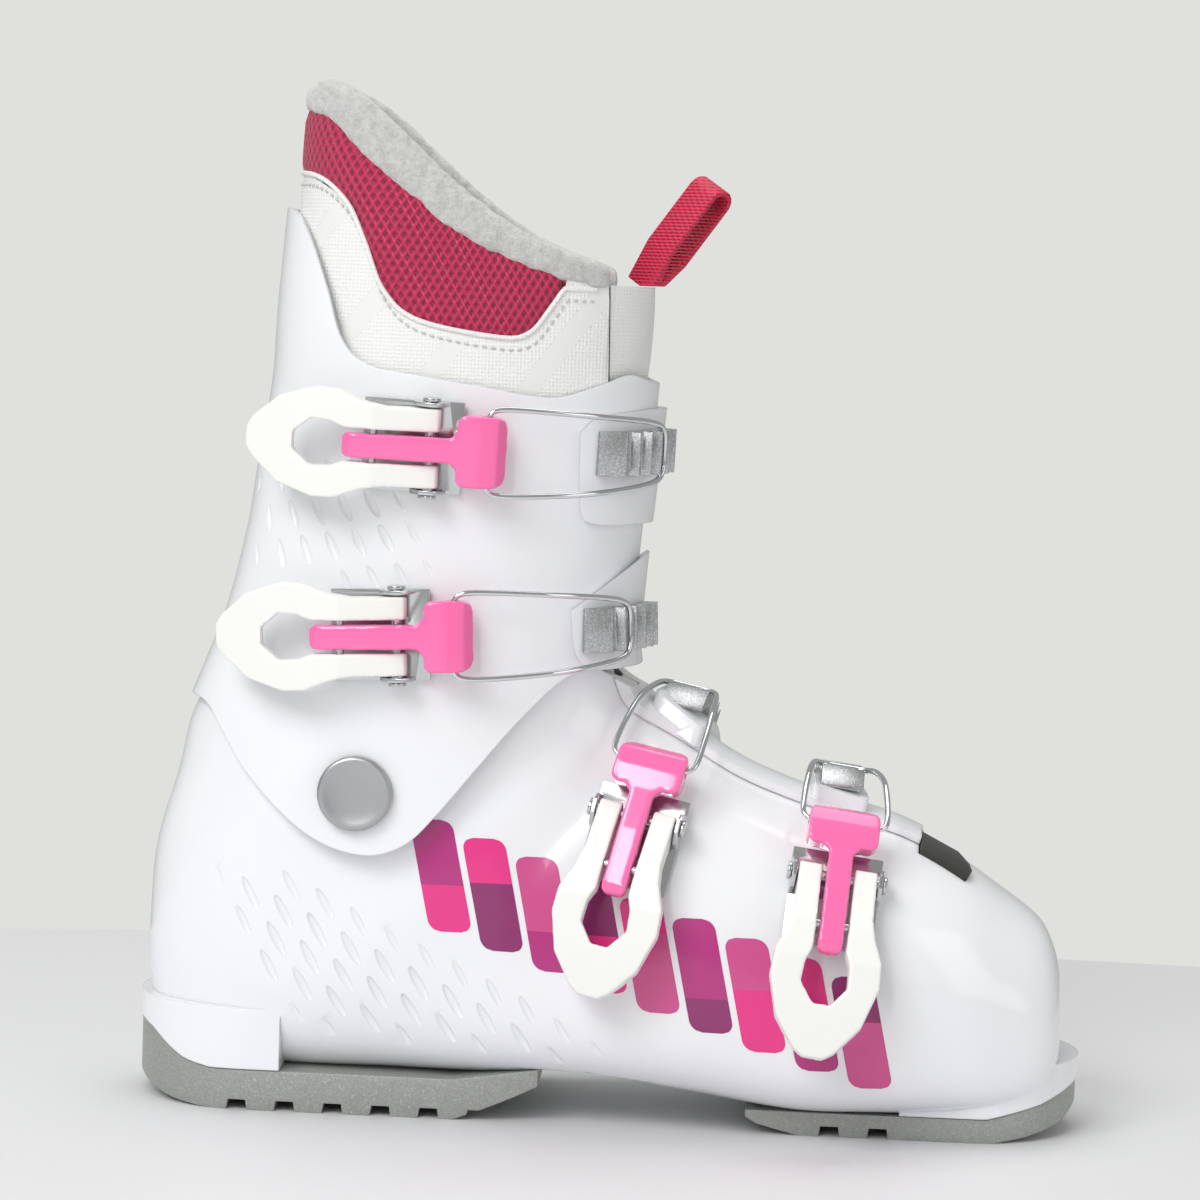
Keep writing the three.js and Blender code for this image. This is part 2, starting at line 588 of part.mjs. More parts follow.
const PIVOT_HEAD = 2.4;
function cuffPivot(side) {
  const seat = cuffWaist + 0.5 + GAP;
  const inside = ankle - SHELL_WALL;
  const spans = [
    [PIVOT_SHANK_RADIUS, inside, seat + 1],
    [PIVOT_HEAD_RADIUS, seat, seat + PIVOT_HEAD],
  ];
  return joined(spans.map(([radius, from, to]) =>
    crossPin(radius, PIVOT.x, PIVOT.y, ...(side > 0 ? [from, to] : [-to, -from]), 24)));
}

// ---------------------------------------------------------------- buckles
// Each buckle is drawn flat round its lever pivot: X is the pull towards the ladder, Y runs across the
// buckle and Z stands out from the shell. Heights are above the skin that it is riveted to.
const PIN_RADIUS = 1.6;
const YOKE_PIN_RADIUS = 1.2;
const LEVER_PIVOT = [0, 5.4];
const YOKE_PIVOT = [-16, 9.8];
const BAIL_PIVOT = [16.5, 6];
const ANCHOR_BACK = 8; // the base is seated on the skin this far behind the lever pivot
const EAR_THICKNESS = 1.2;
const BASE_THICKNESS = 1.4;
const SIDE_GAP = 0.6; // between the lever, its ears and the yoke's stem
const armOut = ARM_SPREAD / 2;
const armIn = STEM_WIDTH / 2 + 2 * SIDE_GAP;
const earIn = armOut + SIDE_GAP;
const earOut = earIn + EAR_THICKNESS;

const flat = (...pairs) => new THREE.Shape(pairs.map(([x, y]) => new THREE.Vector2(x, y)));
const mirrored = (pairs) => [...pairs, ...pairs.slice().reverse().map(([x, y]) => [x, -y])];

// A profile seen from the buckle's side, made a prism across it.
function profilePrism(pairs, from, to) {
  const geometry = extruded(flat(...pairs), to - from);
  return solidOf(geometry.rotateX(Math.PI / 2).translate(0, to, 0));
}

const acrossPin = (radius, [x, z], from, to, segments = 12) => crossPin(radius, x, z, from, to, segments);

function buckleBase() {
  const top = GAP + BASE_THICKNESS;
  const plate = profilePrism([[-20, GAP], [9, GAP], [9, top], [-20, top]], -earOut, earOut);
  const ear = [[-6, GAP], [5, GAP], [4.2, 6.5], [2, 8.6], [-2, 8.6], [-5, 6]];
  const hole = acrossPin(PIN_RADIUS + GAP, LEVER_PIVOT, -20, 20);
  return plate.add(profilePrism(ear, earIn, earOut)).add(profilePrism(ear, -earOut, -earIn)).subtract(hole);
}

function lever() {
  const tip = -LEVER_LENGTH;
  const edge = [[3, armOut], [-13, armOut], [-19, armOut + 1.2], [-26, armOut + 4], [tip + 21, armOut + 4.4],
    [tip + 10, armOut + 1], [tip + 2, 6], [tip, 3]];
  const hole = [[4, armIn], [-24, armIn], [-28, 6.4], [-34, 6.8], [-39.5, 2.5]];
  const frame = flat(...mirrored(edge));
  const side = [
    [2.4, 3.6], [3.2, 5.6], [2.6, 8.2], [0, 9.2], [-16, 12.6], [-27, 12.2], [-40, 8.6], [tip, 3.6],
    [tip, 1], [tip + 6, 1.4], [-40, 4.4], [-28, 7.2], [-18, 6.6], [-7, 3.4], [0, 2.4],
  ];
  return planPrism(frame, -5, 20)
    .subtract(planPrism(flat(...mirrored(hole)), -6, 21))
    .intersect(profilePrism(side, -30, 30))
    .subtract(acrossPin(PIN_RADIUS + GAP, LEVER_PIVOT, -20, 20))
    .subtract(acrossPin(YOKE_PIN_RADIUS + GAP, YOKE_PIVOT, -20, 20));
}

function yoke() {
  const stem = STEM_WIDTH / 2;
  const head = YOKE_WIDTH / 2;
  const edge = [[-25, stem - 1.4], [-23.6, stem], [6.5, stem], [8.5, stem + 2], [8.5, head - 1.6], [10, head],
    [19, head], [21.4, head - 1], [22.4, head - 3.4]];
  const side = [[-25, 8.6], [-24.6, 11.6], [-22, 13], [-5, 12], [8, 10.6], [15, 10.2], [20, 8.2], [22.4, 4],
    [21, 2.4], [12, 2.4], [8.5, 4], [7, 7.2], [-8, 7.6]];
  return planPrism(flat(...mirrored(edge)), -5, 20)
    .intersect(profilePrism(side, -30, 30))
    .subtract(acrossPin(YOKE_PIN_RADIUS + GAP, YOKE_PIVOT, -20, 20))
    .subtract(acrossPin(WIRE_RADIUS + 2 * GAP, BAIL_PIVOT, -20, 20, 8));
}

function leverPin() {
  const head = earOut + GAP;
  const spans = [
    [PIN_RADIUS, -head, head],
    [PIN_RADIUS + 1.1, head - 0.1, head + 1],
    [PIN_RADIUS + 1.1, -head - 1, -head + 0.1],
  ];
  return joined(spans.map(([radius, from, to]) => acrossPin(radius, LEVER_PIVOT, from, to)));
}

const yokePin = () => acrossPin(YOKE_PIN_RADIUS, YOKE_PIVOT, -armOut + 1, armOut - 1);

// The wire bail runs from inside the yoke's head, round both of its ends, and across behind a tooth.
// It is drawn from its pivot towards the tooth, with a bow that clears the shell.
const BAIL_END_HALF = LADDER_WIDTH / 2 + WIRE_RADIUS + 1.38; // half its width behind the tooth
const BAIL_STEPS = 40;
function bail(length, bow) {
  const out = YOKE_WIDTH / 2 + WIRE_RADIUS + 2 * SIDE_GAP;
  const halfRoute = [
    [0, out - 8], [0, out - 4.5], [0, out - 2], [0.6, out - 0.5], [3, out],
    [length * 0.5, out - 1.2], [length - 5, BAIL_END_HALF], [length - 0.8, BAIL_END_HALF - 1.6],
    [length, BAIL_END_HALF - 4], [length, 2],
  ];
  const route = mirrored(halfRoute).map(([x, y]) => {
    const share = Math.min(Math.max(x / length, 0), 1);
    return new THREE.Vector3(x, y, 4 * bow * share * (1 - share));
  });
  const curve = new THREE.CatmullRomCurve3(route, false, "centripetal");
  const round = new THREE.Shape();
  round.absarc(0, 0, WIRE_RADIUS, 0, 2 * Math.PI);
  const options = { steps: BAIL_STEPS, bevelEnabled: false, curveSegments: 3, extrudePath: curve };
  return solidOf(new THREE.ExtrudeGeometry(round, options));
}

// The ladder follows the flap under it: a ramp and a row of teeth whose steep sides face away from the
// lever. Each outline point is a distance along the flap and a height above it.
const LADDER_RAMP = 6.5;
const LADDER_TEETH = 5;
const LADDER_VALLEY = 3.2;
const LADDER_FLOOR = 2.6;
const TOOTH_TOP = 5.3;
function ladderOutline() {
  const points = [[0, 0], [0, 1], [LADDER_RAMP - 0.6, TOOTH_TOP], [LADDER_RAMP, TOOTH_TOP]];
  for (let tooth = 0; tooth < LADDER_TEETH; tooth += 1) {
    const start = LADDER_RAMP + tooth * LADDER_PITCH;
    points.push([start, LADDER_FLOOR], [start + LADDER_VALLEY, LADDER_FLOOR]);
    points.push([start + LADDER_PITCH - 0.5, TOOTH_TOP], [start + LADDER_PITCH, TOOTH_TOP]);
  }
  const end = LADDER_RAMP + LADDER_TEETH * LADDER_PITCH;
  for (let step = 0; step < 2 * LADDER_TEETH; step += 1) {
    points.push([end * (1 - step / (2 * LADDER_TEETH)), 0]);
  }
  return points;
}
const SEAT = 4; // height of the raised seat under the two lower ladders

// Each base is placed by a station number and an angle on its form; the ladder starts at an angle, the
// wire hooks behind one of its teeth (0 is the ramp), and bow is how far the wire stands off the shell.
const buckles = [
  { name: "top", form: cuffForm, base: [5.27, -94.5], ladderStart: -44, pad: 0, tooth: 3, bow: 7.5 },
  { name: "ankle", form: cuffForm, base: [2.87, -97.4], ladderStart: -43, pad: 0, tooth: 1, bow: 7.5 },
  { name: "instep", form: shellForm, base: [8.15, -64.1], ladderStart: -11, pad: SEAT, tooth: 0, bow: 6 },
  { name: "toe", form: shellForm, base: [5.81, -59.1], ladderStart: -9, pad: SEAT, tooth: 0, bow: 6 },
];

// The station number where a buckle's middle plane crosses its skin at one angle.
function crossing({ form, origin, across, guess }, degrees, height) {
  const small = 0.05;
  let number = guess;
  for (let turn = 0; turn < 8; turn += 1) {
    const here = placeOn(form, number, degrees, height).point;
    const ahead = placeOn(form, number + small, degrees, height).point;
    number += (small * across.dot(origin.clone().sub(here))) / across.dot(ahead.clone().sub(here));
  }
  return number;
}

// Points along the skin in a buckle's middle plane, as [distance, point, outward].
function flapTrack(buckle, length) {
  const { form, across, ladderStart } = buckle;
  const track = [];
  const stepDegrees = 1;
  let distance = 0;
  for (let degrees = ladderStart; distance < length; degrees += stepDegrees) {
    const { point, normal } = placeOn(form, crossing(buckle, degrees, 0), degrees);
    const outward = normal.addScaledVector(across, -normal.dot(across)).normalize();
    distance += track.length ? point.distanceTo(track[track.length - 1].point) : 0;
    track.push({ distance, point, outward });
  }
  return track;
}

function onTrack(track, distance, height) {
  const next = Math.max(1, track.findIndex((entry) => entry.distance >= distance));
  const [a, b] = [track[next - 1], track[next]];
  const share = (distance - a.distance) / (b.distance - a.distance);
  const outward = a.outward.clone().lerp(b.outward, share).normalize();
  return a.point.clone().lerp(b.point, share).addScaledVector(outward, height);
}

// An outline along the flap (distance, height) made a prism across the buckle.
function trackPrism(buckle, pairs, halfWidth) {
  const { track, across } = buckle;
  const start = track[0];
  const away = start.outward;
  const pull = new THREE.Vector3().crossVectors(across, away);
  const points = pairs.map(([distance, height]) => {
    const from = onTrack(track, distance, height).sub(start.point);
    return new THREE.Vector2(from.dot(pull), from.dot(away));
  });
  const geometry = extruded(new THREE.Shape(points), 2 * halfWidth);
  geometry.translate(0, 0, -halfWidth);
  const placed = new THREE.Matrix4().makeBasis(pull, away, across.clone().negate()).setPosition(start.point);
  return solidOf(geometry.applyMatrix4(placed));
}

const LADDER_REACH = LADDER_RAMP + LADDER_TEETH * LADDER_PITCH;
function ladderSeat({ pad }) {
  return GAP + FLAP_WALL + pad;
}
function ladder(buckle) {
  const foot = buckle.pad > 0 ? GAP : -1; // on a pad it stands clear, on the flap it is cut to fit
  const raise = ([run, height]) => [run, ladderSeat(buckle) + (height > 0 ? height + GAP : foot)];
  const block = trackPrism(buckle, ladderOutline().map(raise), LADDER_WIDTH / 2);
  return buckle.pad > 0 ? block : block.subtract(skin(buckle.form, ladderSeat(buckle) + GAP));
}
function ladderPad(buckle) {
  const points = [];
  for (let step = 0; step <= LADDER_TEETH; step += 1) {
    points.push([((LADDER_REACH + 1) * step) / LADDER_TEETH, GAP + 1]);
  }
  for (let step = LADDER_TEETH; step >= 0; step -= 1) {
    points.push([((LADDER_REACH + 1) * step) / LADDER_TEETH, ladderSeat(buckle)]);
  }
  return trackPrism(buckle, points, LADDER_WIDTH / 2 + 2);
}

function laidOut(buckle) {
  const [number, degrees] = buckle.base;
  const { point, normal } = placeOn(buckle.form, number, degrees);
  const aim = placeOn(buckle.form, number, buckle.ladderStart).point.sub(point);
  const pull = aim.addScaledVector(normal, -aim.dot(normal)).normalize();
  const across = new THREE.Vector3().crossVectors(normal, pull);
  const origin = point.clone().addScaledVector(pull, ANCHOR_BACK);
  const placed = { ...buckle, normal, pull, across, origin, guess: number };
  placed.track = flapTrack(placed, LADDER_REACH + 3);
  placed.frame = new THREE.Matrix4().makeBasis(pull, across, normal).setPosition(origin);
  const hookRun = LADDER_RAMP + buckle.tooth * LADDER_PITCH + WIRE_RADIUS + 4 * GAP;
  placed.hook = onTrack(placed.track, hookRun, ladderSeat(buckle) + LADDER_FLOOR + WIRE_RADIUS + 5 * GAP);
  return placed;
}
const laidBuckles = buckles.map(laidOut);

// The bail's own frame: from its pivot in the yoke to the hook.
function bailFrame({ frame, across, hook }) {
  const pivot = new THREE.Vector3(BAIL_PIVOT[0], 0, BAIL_PIVOT[1]).applyMatrix4(frame);
  const reach = hook.clone().sub(pivot);
  reach.addScaledVector(across, -reach.dot(across));
  const length = reach.length();
  reach.normalize();
  const away = new THREE.Vector3().crossVectors(reach, across);
  return { length, matrix: new THREE.Matrix4().makeBasis(reach, across, away).setPosition(pivot) };
}

// ---------------------------------------------------------------- boot
const material = (color, roughness, metalness = 0) =>
  new THREE.MeshStandardMaterial({ color, roughness, metalness });
const whiteShell = material(0xeef0f8, 0.22);
const whiteLever = material(0xf3f3ef, 0.35);
const pinkPlastic = material(0xff69af, 0.2);
const greySole = material(0x9a9c9a, 0.55);
const charcoal = material(0x3a3a36, 0.6);
const wovenWhite = material(0xeceae8, 0.85);
const pinkMesh = material(0xc41e4f, 0.8);
const fleece = material(0xcfcfcb, 1);
const webbing = material(0xd81e4c, 0.7);
const darkFoam = material(0x4a4a4c, 0.95);
const steel = material(0xb9bbbd, 0.3, 1);
const castSilver = material(0xa8a9ab, 0.45, 1);
const wireChrome = material(0xd5d7da, 0.15, 1);

function part(name, solid, finish) {
  const geometry = geometryOf(solid);
  geometry.computeVertexNormals();
  const mesh = new THREE.Mesh(geometry, finish);
  mesh.name = name;
  return mesh;
}

function buckleGroup(buckle) {
  const { name, frame } = buckle;
  const hardware = new THREE.Group();
  hardware.applyMatrix4(frame);
  hardware.add(
    part(`${name}_buckle_base`, buckleBase(), steel),
    part(`${name}_buckle_lever`, lever(), whiteLever),
    part(`${name}_buckle_yoke`, yoke(), pinkPlastic),
    part(`${name}_buckle_lever_pin`, leverPin(), steel),
    part(`${name}_buckle_yoke_pin`, yokePin(), steel),
  );
  const { length, matrix } = bailFrame(buckle);
  const wire = part(`${name}_buckle_bail`, bail(length, buckle.bow), wireChrome);
  wire.applyMatrix4(matrix);
  const group = new THREE.Group();
  group.add(hardware, wire, part(`${name}_buckle_ladder`, ladder(buckle), castSilver));
  return group;
}

const boot = new THREE.Group();
boot.add(
  part("lower_shell", lowerShell(), whiteShell),
  part("cuff", cuff(), whiteShell),
  part("toe_plug", toePlug(), charcoal),
  part("heel_sole", heelSole(), greySole),
  part("toe_sole", toeSole(), greySole),
  part("boot_board", bootBoard(), darkFoam),
  part("liner", liner(), wovenWhite),
  part("tongue", tongue(), wovenWhite),
  part("liner_quarter", quarterPanel(), wovenWhite),
  part("mesh_panel", meshPanel(), pinkMesh),
  part("fleece_collar", fleeceCollar(), fleece),
  part("insole", insole(), darkFoam),
  part("pull_loop", pullLoop(), webbing),
  part("cuff_pivot_lateral", cuffPivot(-1), steel),
  part("cuff_pivot_medial", cuffPivot(1), steel),
  ...laidBuckles.map(buckleGroup),
);

// The buckles stand out on one side only, so the boot is moved to put its box's middle over the origin.
const box = new THREE.Box3().setFromObject(boot, true);
const middle = box.getCenter(new THREE.Vector3());
boot.position.set(-middle.x, -middle.y, -box.min.z);

const centredBoot = new THREE.Group();
centredBoot.add(boot);
export default centredBoot;
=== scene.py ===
"""The visible pieces of an alpine ski boot, built around its packed frame. Run as a script."""

import json
import math

import bmesh
import bpy
import numpy as np
from mathutils import Matrix, Vector
from mathutils.bvhtree import BVHTree


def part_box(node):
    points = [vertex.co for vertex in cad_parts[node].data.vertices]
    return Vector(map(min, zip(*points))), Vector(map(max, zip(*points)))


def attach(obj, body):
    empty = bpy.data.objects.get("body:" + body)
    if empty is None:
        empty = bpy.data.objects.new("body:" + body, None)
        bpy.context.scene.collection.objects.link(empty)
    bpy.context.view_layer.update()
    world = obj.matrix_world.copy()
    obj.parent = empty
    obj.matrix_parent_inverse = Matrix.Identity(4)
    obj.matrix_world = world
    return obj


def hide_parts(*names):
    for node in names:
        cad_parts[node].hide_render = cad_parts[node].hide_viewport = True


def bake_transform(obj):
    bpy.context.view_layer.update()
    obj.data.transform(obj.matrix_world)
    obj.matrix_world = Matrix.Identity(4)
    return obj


bl_info = {
    "name": "Alpine ski boot",
    "version": (1, 0, 0),
    "blender": (4, 5, 0),
    "location": "3D View > Sidebar > Ski boot",
    "description": "Builds the shell, cuff, liner, buckles and soles of an alpine ski boot",
    "category": "Add Mesh",
}

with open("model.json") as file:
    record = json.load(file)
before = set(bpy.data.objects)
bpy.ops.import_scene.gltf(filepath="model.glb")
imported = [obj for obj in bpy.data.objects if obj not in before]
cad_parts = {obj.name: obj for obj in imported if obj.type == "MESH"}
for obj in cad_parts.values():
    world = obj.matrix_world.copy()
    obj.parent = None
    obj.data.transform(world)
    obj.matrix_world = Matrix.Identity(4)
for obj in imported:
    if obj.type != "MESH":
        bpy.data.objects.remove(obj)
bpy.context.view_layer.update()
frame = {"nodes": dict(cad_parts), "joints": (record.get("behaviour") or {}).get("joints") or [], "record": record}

MM = 0.001
FLEX = next(joint for joint in frame["joints"] if joint["name"] == "cuff_flex")
MIDDLE = FLEX["pos_m"][1] / MM  # the boot's middle plane, in millimetres
PIVOT = (FLEX["pos_m"][0] / MM, FLEX["pos_m"][2] / MM)
SOLE_END = (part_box("lower_shell")[1][0]) / MM
FAR = 400.0
BUCKLES = ("top", "ankle", "instep", "toe")

# ---------------------------------------------------------------- forms
# One row a section, in millimetres: front or top (x, z), back or bottom (x, z), half its width, where it
# is widest, how square it is in front and behind, and how far it sways to the inner side.
FOREFOOT = 51.0
HEEL = 38.0
ANKLE = 42.0
CUFF_TOP = 49.0
CUFF_WAIST = 45.7

SHELL_FORM = np.array([
    [136, 44, 135.6, 28, FOREFOOT * 0.26, 0.5, 2, 2, 4],
    [134.3, 53, 135.2, 15, FOREFOOT * 0.5, 0.45, 2.2, 2.6, 4],
    [129.3, 62, 130.5, 8, FOREFOOT * 0.65, 0.42, 2.3, 3.2, 4],
    [117, 71, 118, 6, FOREFOOT * 0.79, 0.4, 2.4, 4, 3.5],
    [104, 79.5, 103, 6, FOREFOOT * 0.9, 0.4, 2.4, 4, 2.5],
    [86, 88.5, 82, 6, FOREFOOT * 0.98, 0.38, 2.3, 4, 1],
    [62, 95.5, 56, 6, FOREFOOT, 0.38, 2.2, 4, 0],
    [38, 104.7, 24, 10, FOREFOOT * 0.96, 0.4, 2.1, 4, -1],
    [20, 116, -12, 12, FOREFOOT * 0.89, 0.42, 2.1, 4, -1],
    [9, 123.5, -62, 11, (FOREFOOT * 0.84 + HEEL) / 2, 0.46, 2.2, 3.6, 0],
    [5.8, 127, -112, 11, HEEL * 1.06, 0.5, 2.3, 3, 0],
    [4, 131, -137, 24, HEEL * 1.04, 0.52, 2.4, 2.5, 0],
    [2, 136, -139.8, 68, HEEL * 1.07, 0.52, 2.4, 2.3, 0],
    [0.5, 141, -133, 98, ANKLE, 0.5, 2.4, 2.2, 0],
    [-1, 147, -128.5, 117, ANKLE, 0.5, 2.4, 2.2, 0],
    [-3, 154, -117, 136, ANKLE, 0.5, 2.4, 2.2, 0],
    [-5, 166, -101, 152, ANKLE, 0.5, 2.4, 2.2, 0],
])
CUFF_FORM = np.array([
    [14, 86, -146, 62, CUFF_WAIST, 0.5, 2.3, 2.2, 0],
    [9, 112, -139, 88, CUFF_WAIST, 0.5, 2.3, 2.2, 0],
    [3.5, 134, -131.5, 116, CUFF_WAIST + 0.5, 0.5, 2.3, 2.2, 0],
    [3, 150, -120.5, 146, CUFF_WAIST + 1, 0.48, 2.3, 2.2, 0],
    [4.4, 172, -114.4, 172, CUFF_WAIST + 1.5, 0.46, 2.2, 2.2, 0],
    [6.2, 193, -111.3, 194.5, CUFF_TOP - 1, 0.45, 2.2, 2.2, 0],
    [8, 216, -107.9, 217, CUFF_TOP, 0.44, 2.2, 2.3, 0],
    [8.5, 240, -106.8, 240, CUFF_TOP - 1, 0.44, 2.2, 2.4, 0],
    [8, 272, -104.7, 269, CUFF_TOP - 4, 0.44, 2.2, 2.5, 0],
])
LINER_FORM = np.array([
    [131, 46, 131, 26, FOREFOOT * 0.26, 0.5, 2, 2, 4],
    [127, 57, 129, 12, FOREFOOT * 0.5, 0.45, 2.2, 2.8, 4],
    [106, 76, 106, 12, FOREFOOT * 0.84, 0.4, 2.3, 4, 2.5],
    [82, 87, 80, 12, FOREFOOT * 0.92, 0.38, 2.3, 4, 1],
    [54, 95, 50, 12, FOREFOOT * 0.92, 0.38, 2.2, 4, 0],
    [28, 108, 18, 14, FOREFOOT * 0.88, 0.4, 2.2, 4, -1],
    [10, 119, -30, 14, FOREFOOT * 0.8, 0.42, 2.2, 4, 0],
    [1, 128, -96, 14, HEEL - 1, 0.5, 2.3, 3, 0],
    [-1.5, 135, -134, 40, HEEL - 1, 0.52, 2.3, 2.4, 0],
    [-3, 143, -131, 92, ANKLE - 2, 0.5, 2.3, 2.2, 0],
    [-2.5, 152, -118, 122, ANKLE - 2, 0.5, 2.3, 2.2, 0],
    [-0.5, 166, -111, 152, CUFF_WAIST - 3.5, 0.48, 2.2, 2.2, 0],
    [2, 186, -108.5, 182, CUFF_TOP - 4, 0.46, 2.2, 2.2, 0],
    [4.5, 208, -104.6, 210, CUFF_TOP - 4, 0.45, 2.2, 2.3, 0],
    [7, 230, -103, 238, CUFF_TOP - 5.5, 0.44, 2.2, 2.4, 0],
    [7, 252, -101, 270, CUFF_TOP - 7, 0.43, 2.3, 2.5, 0],
    [3, 282, -99, 312, CUFF_TOP - 9, 0.42, 2.3, 2.5, 0],
])
SHAFT_START = 10  # the liner form's row where its shaft begins


def flowing(a, b, c, d, t):
    """A Catmull-Rom curve between b and c."""
    return 0.5 * (
        2 * b + (c - a) * t + (2 * a - 5 * b + 4 * c - d) * t * t + (3 * b - a - 3 * c + d) * t**3
    )


def smooth_line(points, steps=8):
    """The points of a line joined by a smooth curve."""
    points = np.asarray(points, float)
    pick = lambda i: points[min(max(i, 0), len(points) - 1)]
    made = [
        flowing(pick(i - 1), pick(i), pick(i + 1), pick(i + 2), k / steps)
        for i in range(len(points) - 1)
        for k in range(steps)
    ]
    return [tuple(p) for p in made] + [tuple(points[-1])]


def section(form, number):
    index = int(min(max(math.floor(number), 0), len(form) - 2))
    pick = lambda i: form[min(max(i, 0), len(form) - 1)]
    return flowing(pick(index - 1), pick(index), pick(index + 1), pick(index + 2), number - index)


def ring(form, number, grow, angles):
    """One section's points, in millimetres, grown outwards."""
    front_x, front_z, back_x, back_z, half, peak, front_power, back_power, sway = section(form, number)
    axis = np.array([front_x - back_x, front_z - back_z])
    span = np.hypot(*axis)
    axis /= span
    middle = np.array([back_x, back_z]) + axis * span * peak
    forward = np.cos(angles)
    side = np.sin(angles)
    power = np.where(forward >= 0, 2 / front_power, 2 / back_power)
    reach = np.where(forward >= 0, span * (1 - peak), span * peak) + grow
    run = np.sign(forward) * np.abs(forward) ** power * reach
    y = np.sign(side) * np.abs(side) ** power * (half + grow) + sway + MIDDLE
    return np.column_stack([middle[0] + axis[0] * run, y, middle[1] + axis[1] * run])


def even_angles(around):
    """Angles crowded where a squared section turns fastest."""
    even = np.arange(around) * 2 * math.pi / around
    return even - 0.2 * np.sin(4 * even)


# ---------------------------------------------------------------- solids
def solid(name, vertices, faces):
    """A mesh object from points in millimetres."""
    mesh = bpy.data.meshes.new(name)
    mesh.from_pydata([tuple(np.asarray(v) * MM) for v in vertices], [], [list(f) for f in faces])
    piece = bpy.data.objects.new(name, mesh)
    bpy.context.scene.collection.objects.link(piece)
    return piece


def skin(form, grow=0.0, rings=8, around=144, nose=0.0, start=0):
    """The closed solid inside a form, with a toe end that bulges by nose."""
    angles = even_angles(around)
    loops = [
        ring(form, number, grow, angles)
        for number in np.linspace(start, len(form) - 1, (len(form) - 1 - start) * rings + 1)
    ]
    if nose:
        first = loops[0]
        centre = first.mean(0)
        for share in (0.92, 0.75, 0.5, 0.25):
            bulge = np.array([nose * (1 - share * share), 0, 0])
            loops.insert(0, centre + (first - centre) * share + bulge)
    faces = []
    for r in range(len(loops) - 1):
        for i in range(around):
            a = r * around + i
            b = r * around + (i + 1) % around
            faces.append((a, b, b + around, a + around))
    last = (len(loops) - 1) * around
    faces.append(tuple(reversed(range(around))))
    faces.append(tuple(range(last, last + around)))
    return solid("skin", np.vstack(loops), faces)


def prism(corners, low, high, place):
    """A flat outline made a solid between two levels; place puts (a, b, level) in space."""
    count = len(corners)
    vertices = [place(a, b, low) for a, b in corners] + [place(a, b, high) for a, b in corners]
    faces = [tuple(range(count)), tuple(range(2 * count - 1, count - 1, -1))]
    faces += [(i, (i + 1) % count, (i + 1) % count + count, i + count) for i in range(count)]
    piece = solid("prism", vertices, faces)
    mesh = bmesh.new()
    mesh.from_mesh(piece.data)
    bmesh.ops.recalc_face_normals(mesh, faces=mesh.faces)
    mesh.to_mesh(piece.data)
    mesh.free()
    return piece


def side_prism(corners, low=-FAR, high=FAR):
    """A side-view outline (x, z) between two distances from the middle plane."""
    return prism(corners, low, high, lambda x, z, y: (x, y + MIDDLE, z))


def plan_prism(corners, low, high):
    """A plan outline (x, y) between two heights."""
    return prism(corners, low, high, lambda x, y, z: (x, y + MIDDLE, z))


def over(line):
    return side_prism([*line, (FAR, FAR), (-FAR, FAR)])


def under(line):
    return side_prism([*line, (FAR, -FAR), (-FAR, -FAR)])


def raised(line, height):
    return [(x, z + height) for x, z in line]


def bake(piece):
    """Applies a piece's modifiers."""
    graph = bpy.context.evaluated_depsgraph_get()
    finished = bpy.data.meshes.new_from_object(piece.evaluated_get(graph))
    piece.modifiers.clear()
    piece.data = finished
    return piece


def combined(piece, other, operation):
    step = piece.modifiers.new("combine", "BOOLEAN")
    step.solver = "MANIFOLD"
    step.operation = operation
    step.object = other
    bake(piece)
    bpy.data.objects.remove(other)
    return piece


def joined(piece, *others):
    for other in others:
        combined(piece, other, "UNION")
    return piece


def cut(piece, *others):
    for other in others:
        combined(piece, other, "DIFFERENCE")
    return piece


def kept(piece, *others):
    for other in others:
        combined(piece, other, "INTERSECT")
    return piece


def layer(form, inner, outer, *cutters):
    """A plate that follows a form between two heights above it."""
    return kept(cut(skin(form, outer), skin(form, inner)), *cutters)


def inside(form, wall):
    """The room inside a boot-shaped wall."""
    end = form[0][2] - wall
    return kept(skin(form, -wall), side_prism([(-FAR, -FAR), (end, -FAR), (end, FAR), (-FAR, FAR)]))


def lug_outline(inner, end, width, steps=40):
    """A lug's plan: straight sides closed by a half round end."""
    half = width / 2
    toward = math.copysign(1, end - inner)
    turn = [math.pi * (k / steps - 0.5) for k in range(steps + 1)]
    arc = [(end - toward * half + toward * half * math.cos(t), half * math.sin(t)) for t in turn]
    return [(inner, -half), *arc, (inner, half)]


def cross_pin(radius, low, high, segments=64):
    """A round pin along the cuff's hinge."""
    turn = [2 * math.pi * k / segments for k in range(segments)]
    corners = [(PIVOT[0] + radius * math.cos(t), PIVOT[1] + radius * math.sin(t)) for t in turn]
    return side_prism(corners, low, high)


def finished(piece, name, material, body, *nodes, crease=40.0, slot=None):
    """Names, shades and hangs a made piece, which stands for the nodes."""
    piece.name = name
    piece.data.name = name
    piece.data.materials.clear()
    piece.data.materials.append(material)
    piece.data.shade_smooth()
    piece.data.set_sharp_from_angle(angle=math.radians(crease))
    if body is not None:
        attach(piece, body)
    if nodes:
        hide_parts(*nodes)
    return piece


def surface_of(piece):
    """A search tree of a piece's surface, in metres."""
    graph = bpy.context.evaluated_depsgraph_get()
    return BVHTree.FromObject(piece, graph)


def seen_from_side(surface, x, z, side=-1):
    """Where a line across the boot first meets a surface, with the normal there."""
    origin = Vector((x * MM, 0.5 * side, z * MM))
    point, normal, _, _ = surface.ray_cast(origin, Vector((0, -side, 0)))
    return point, normal


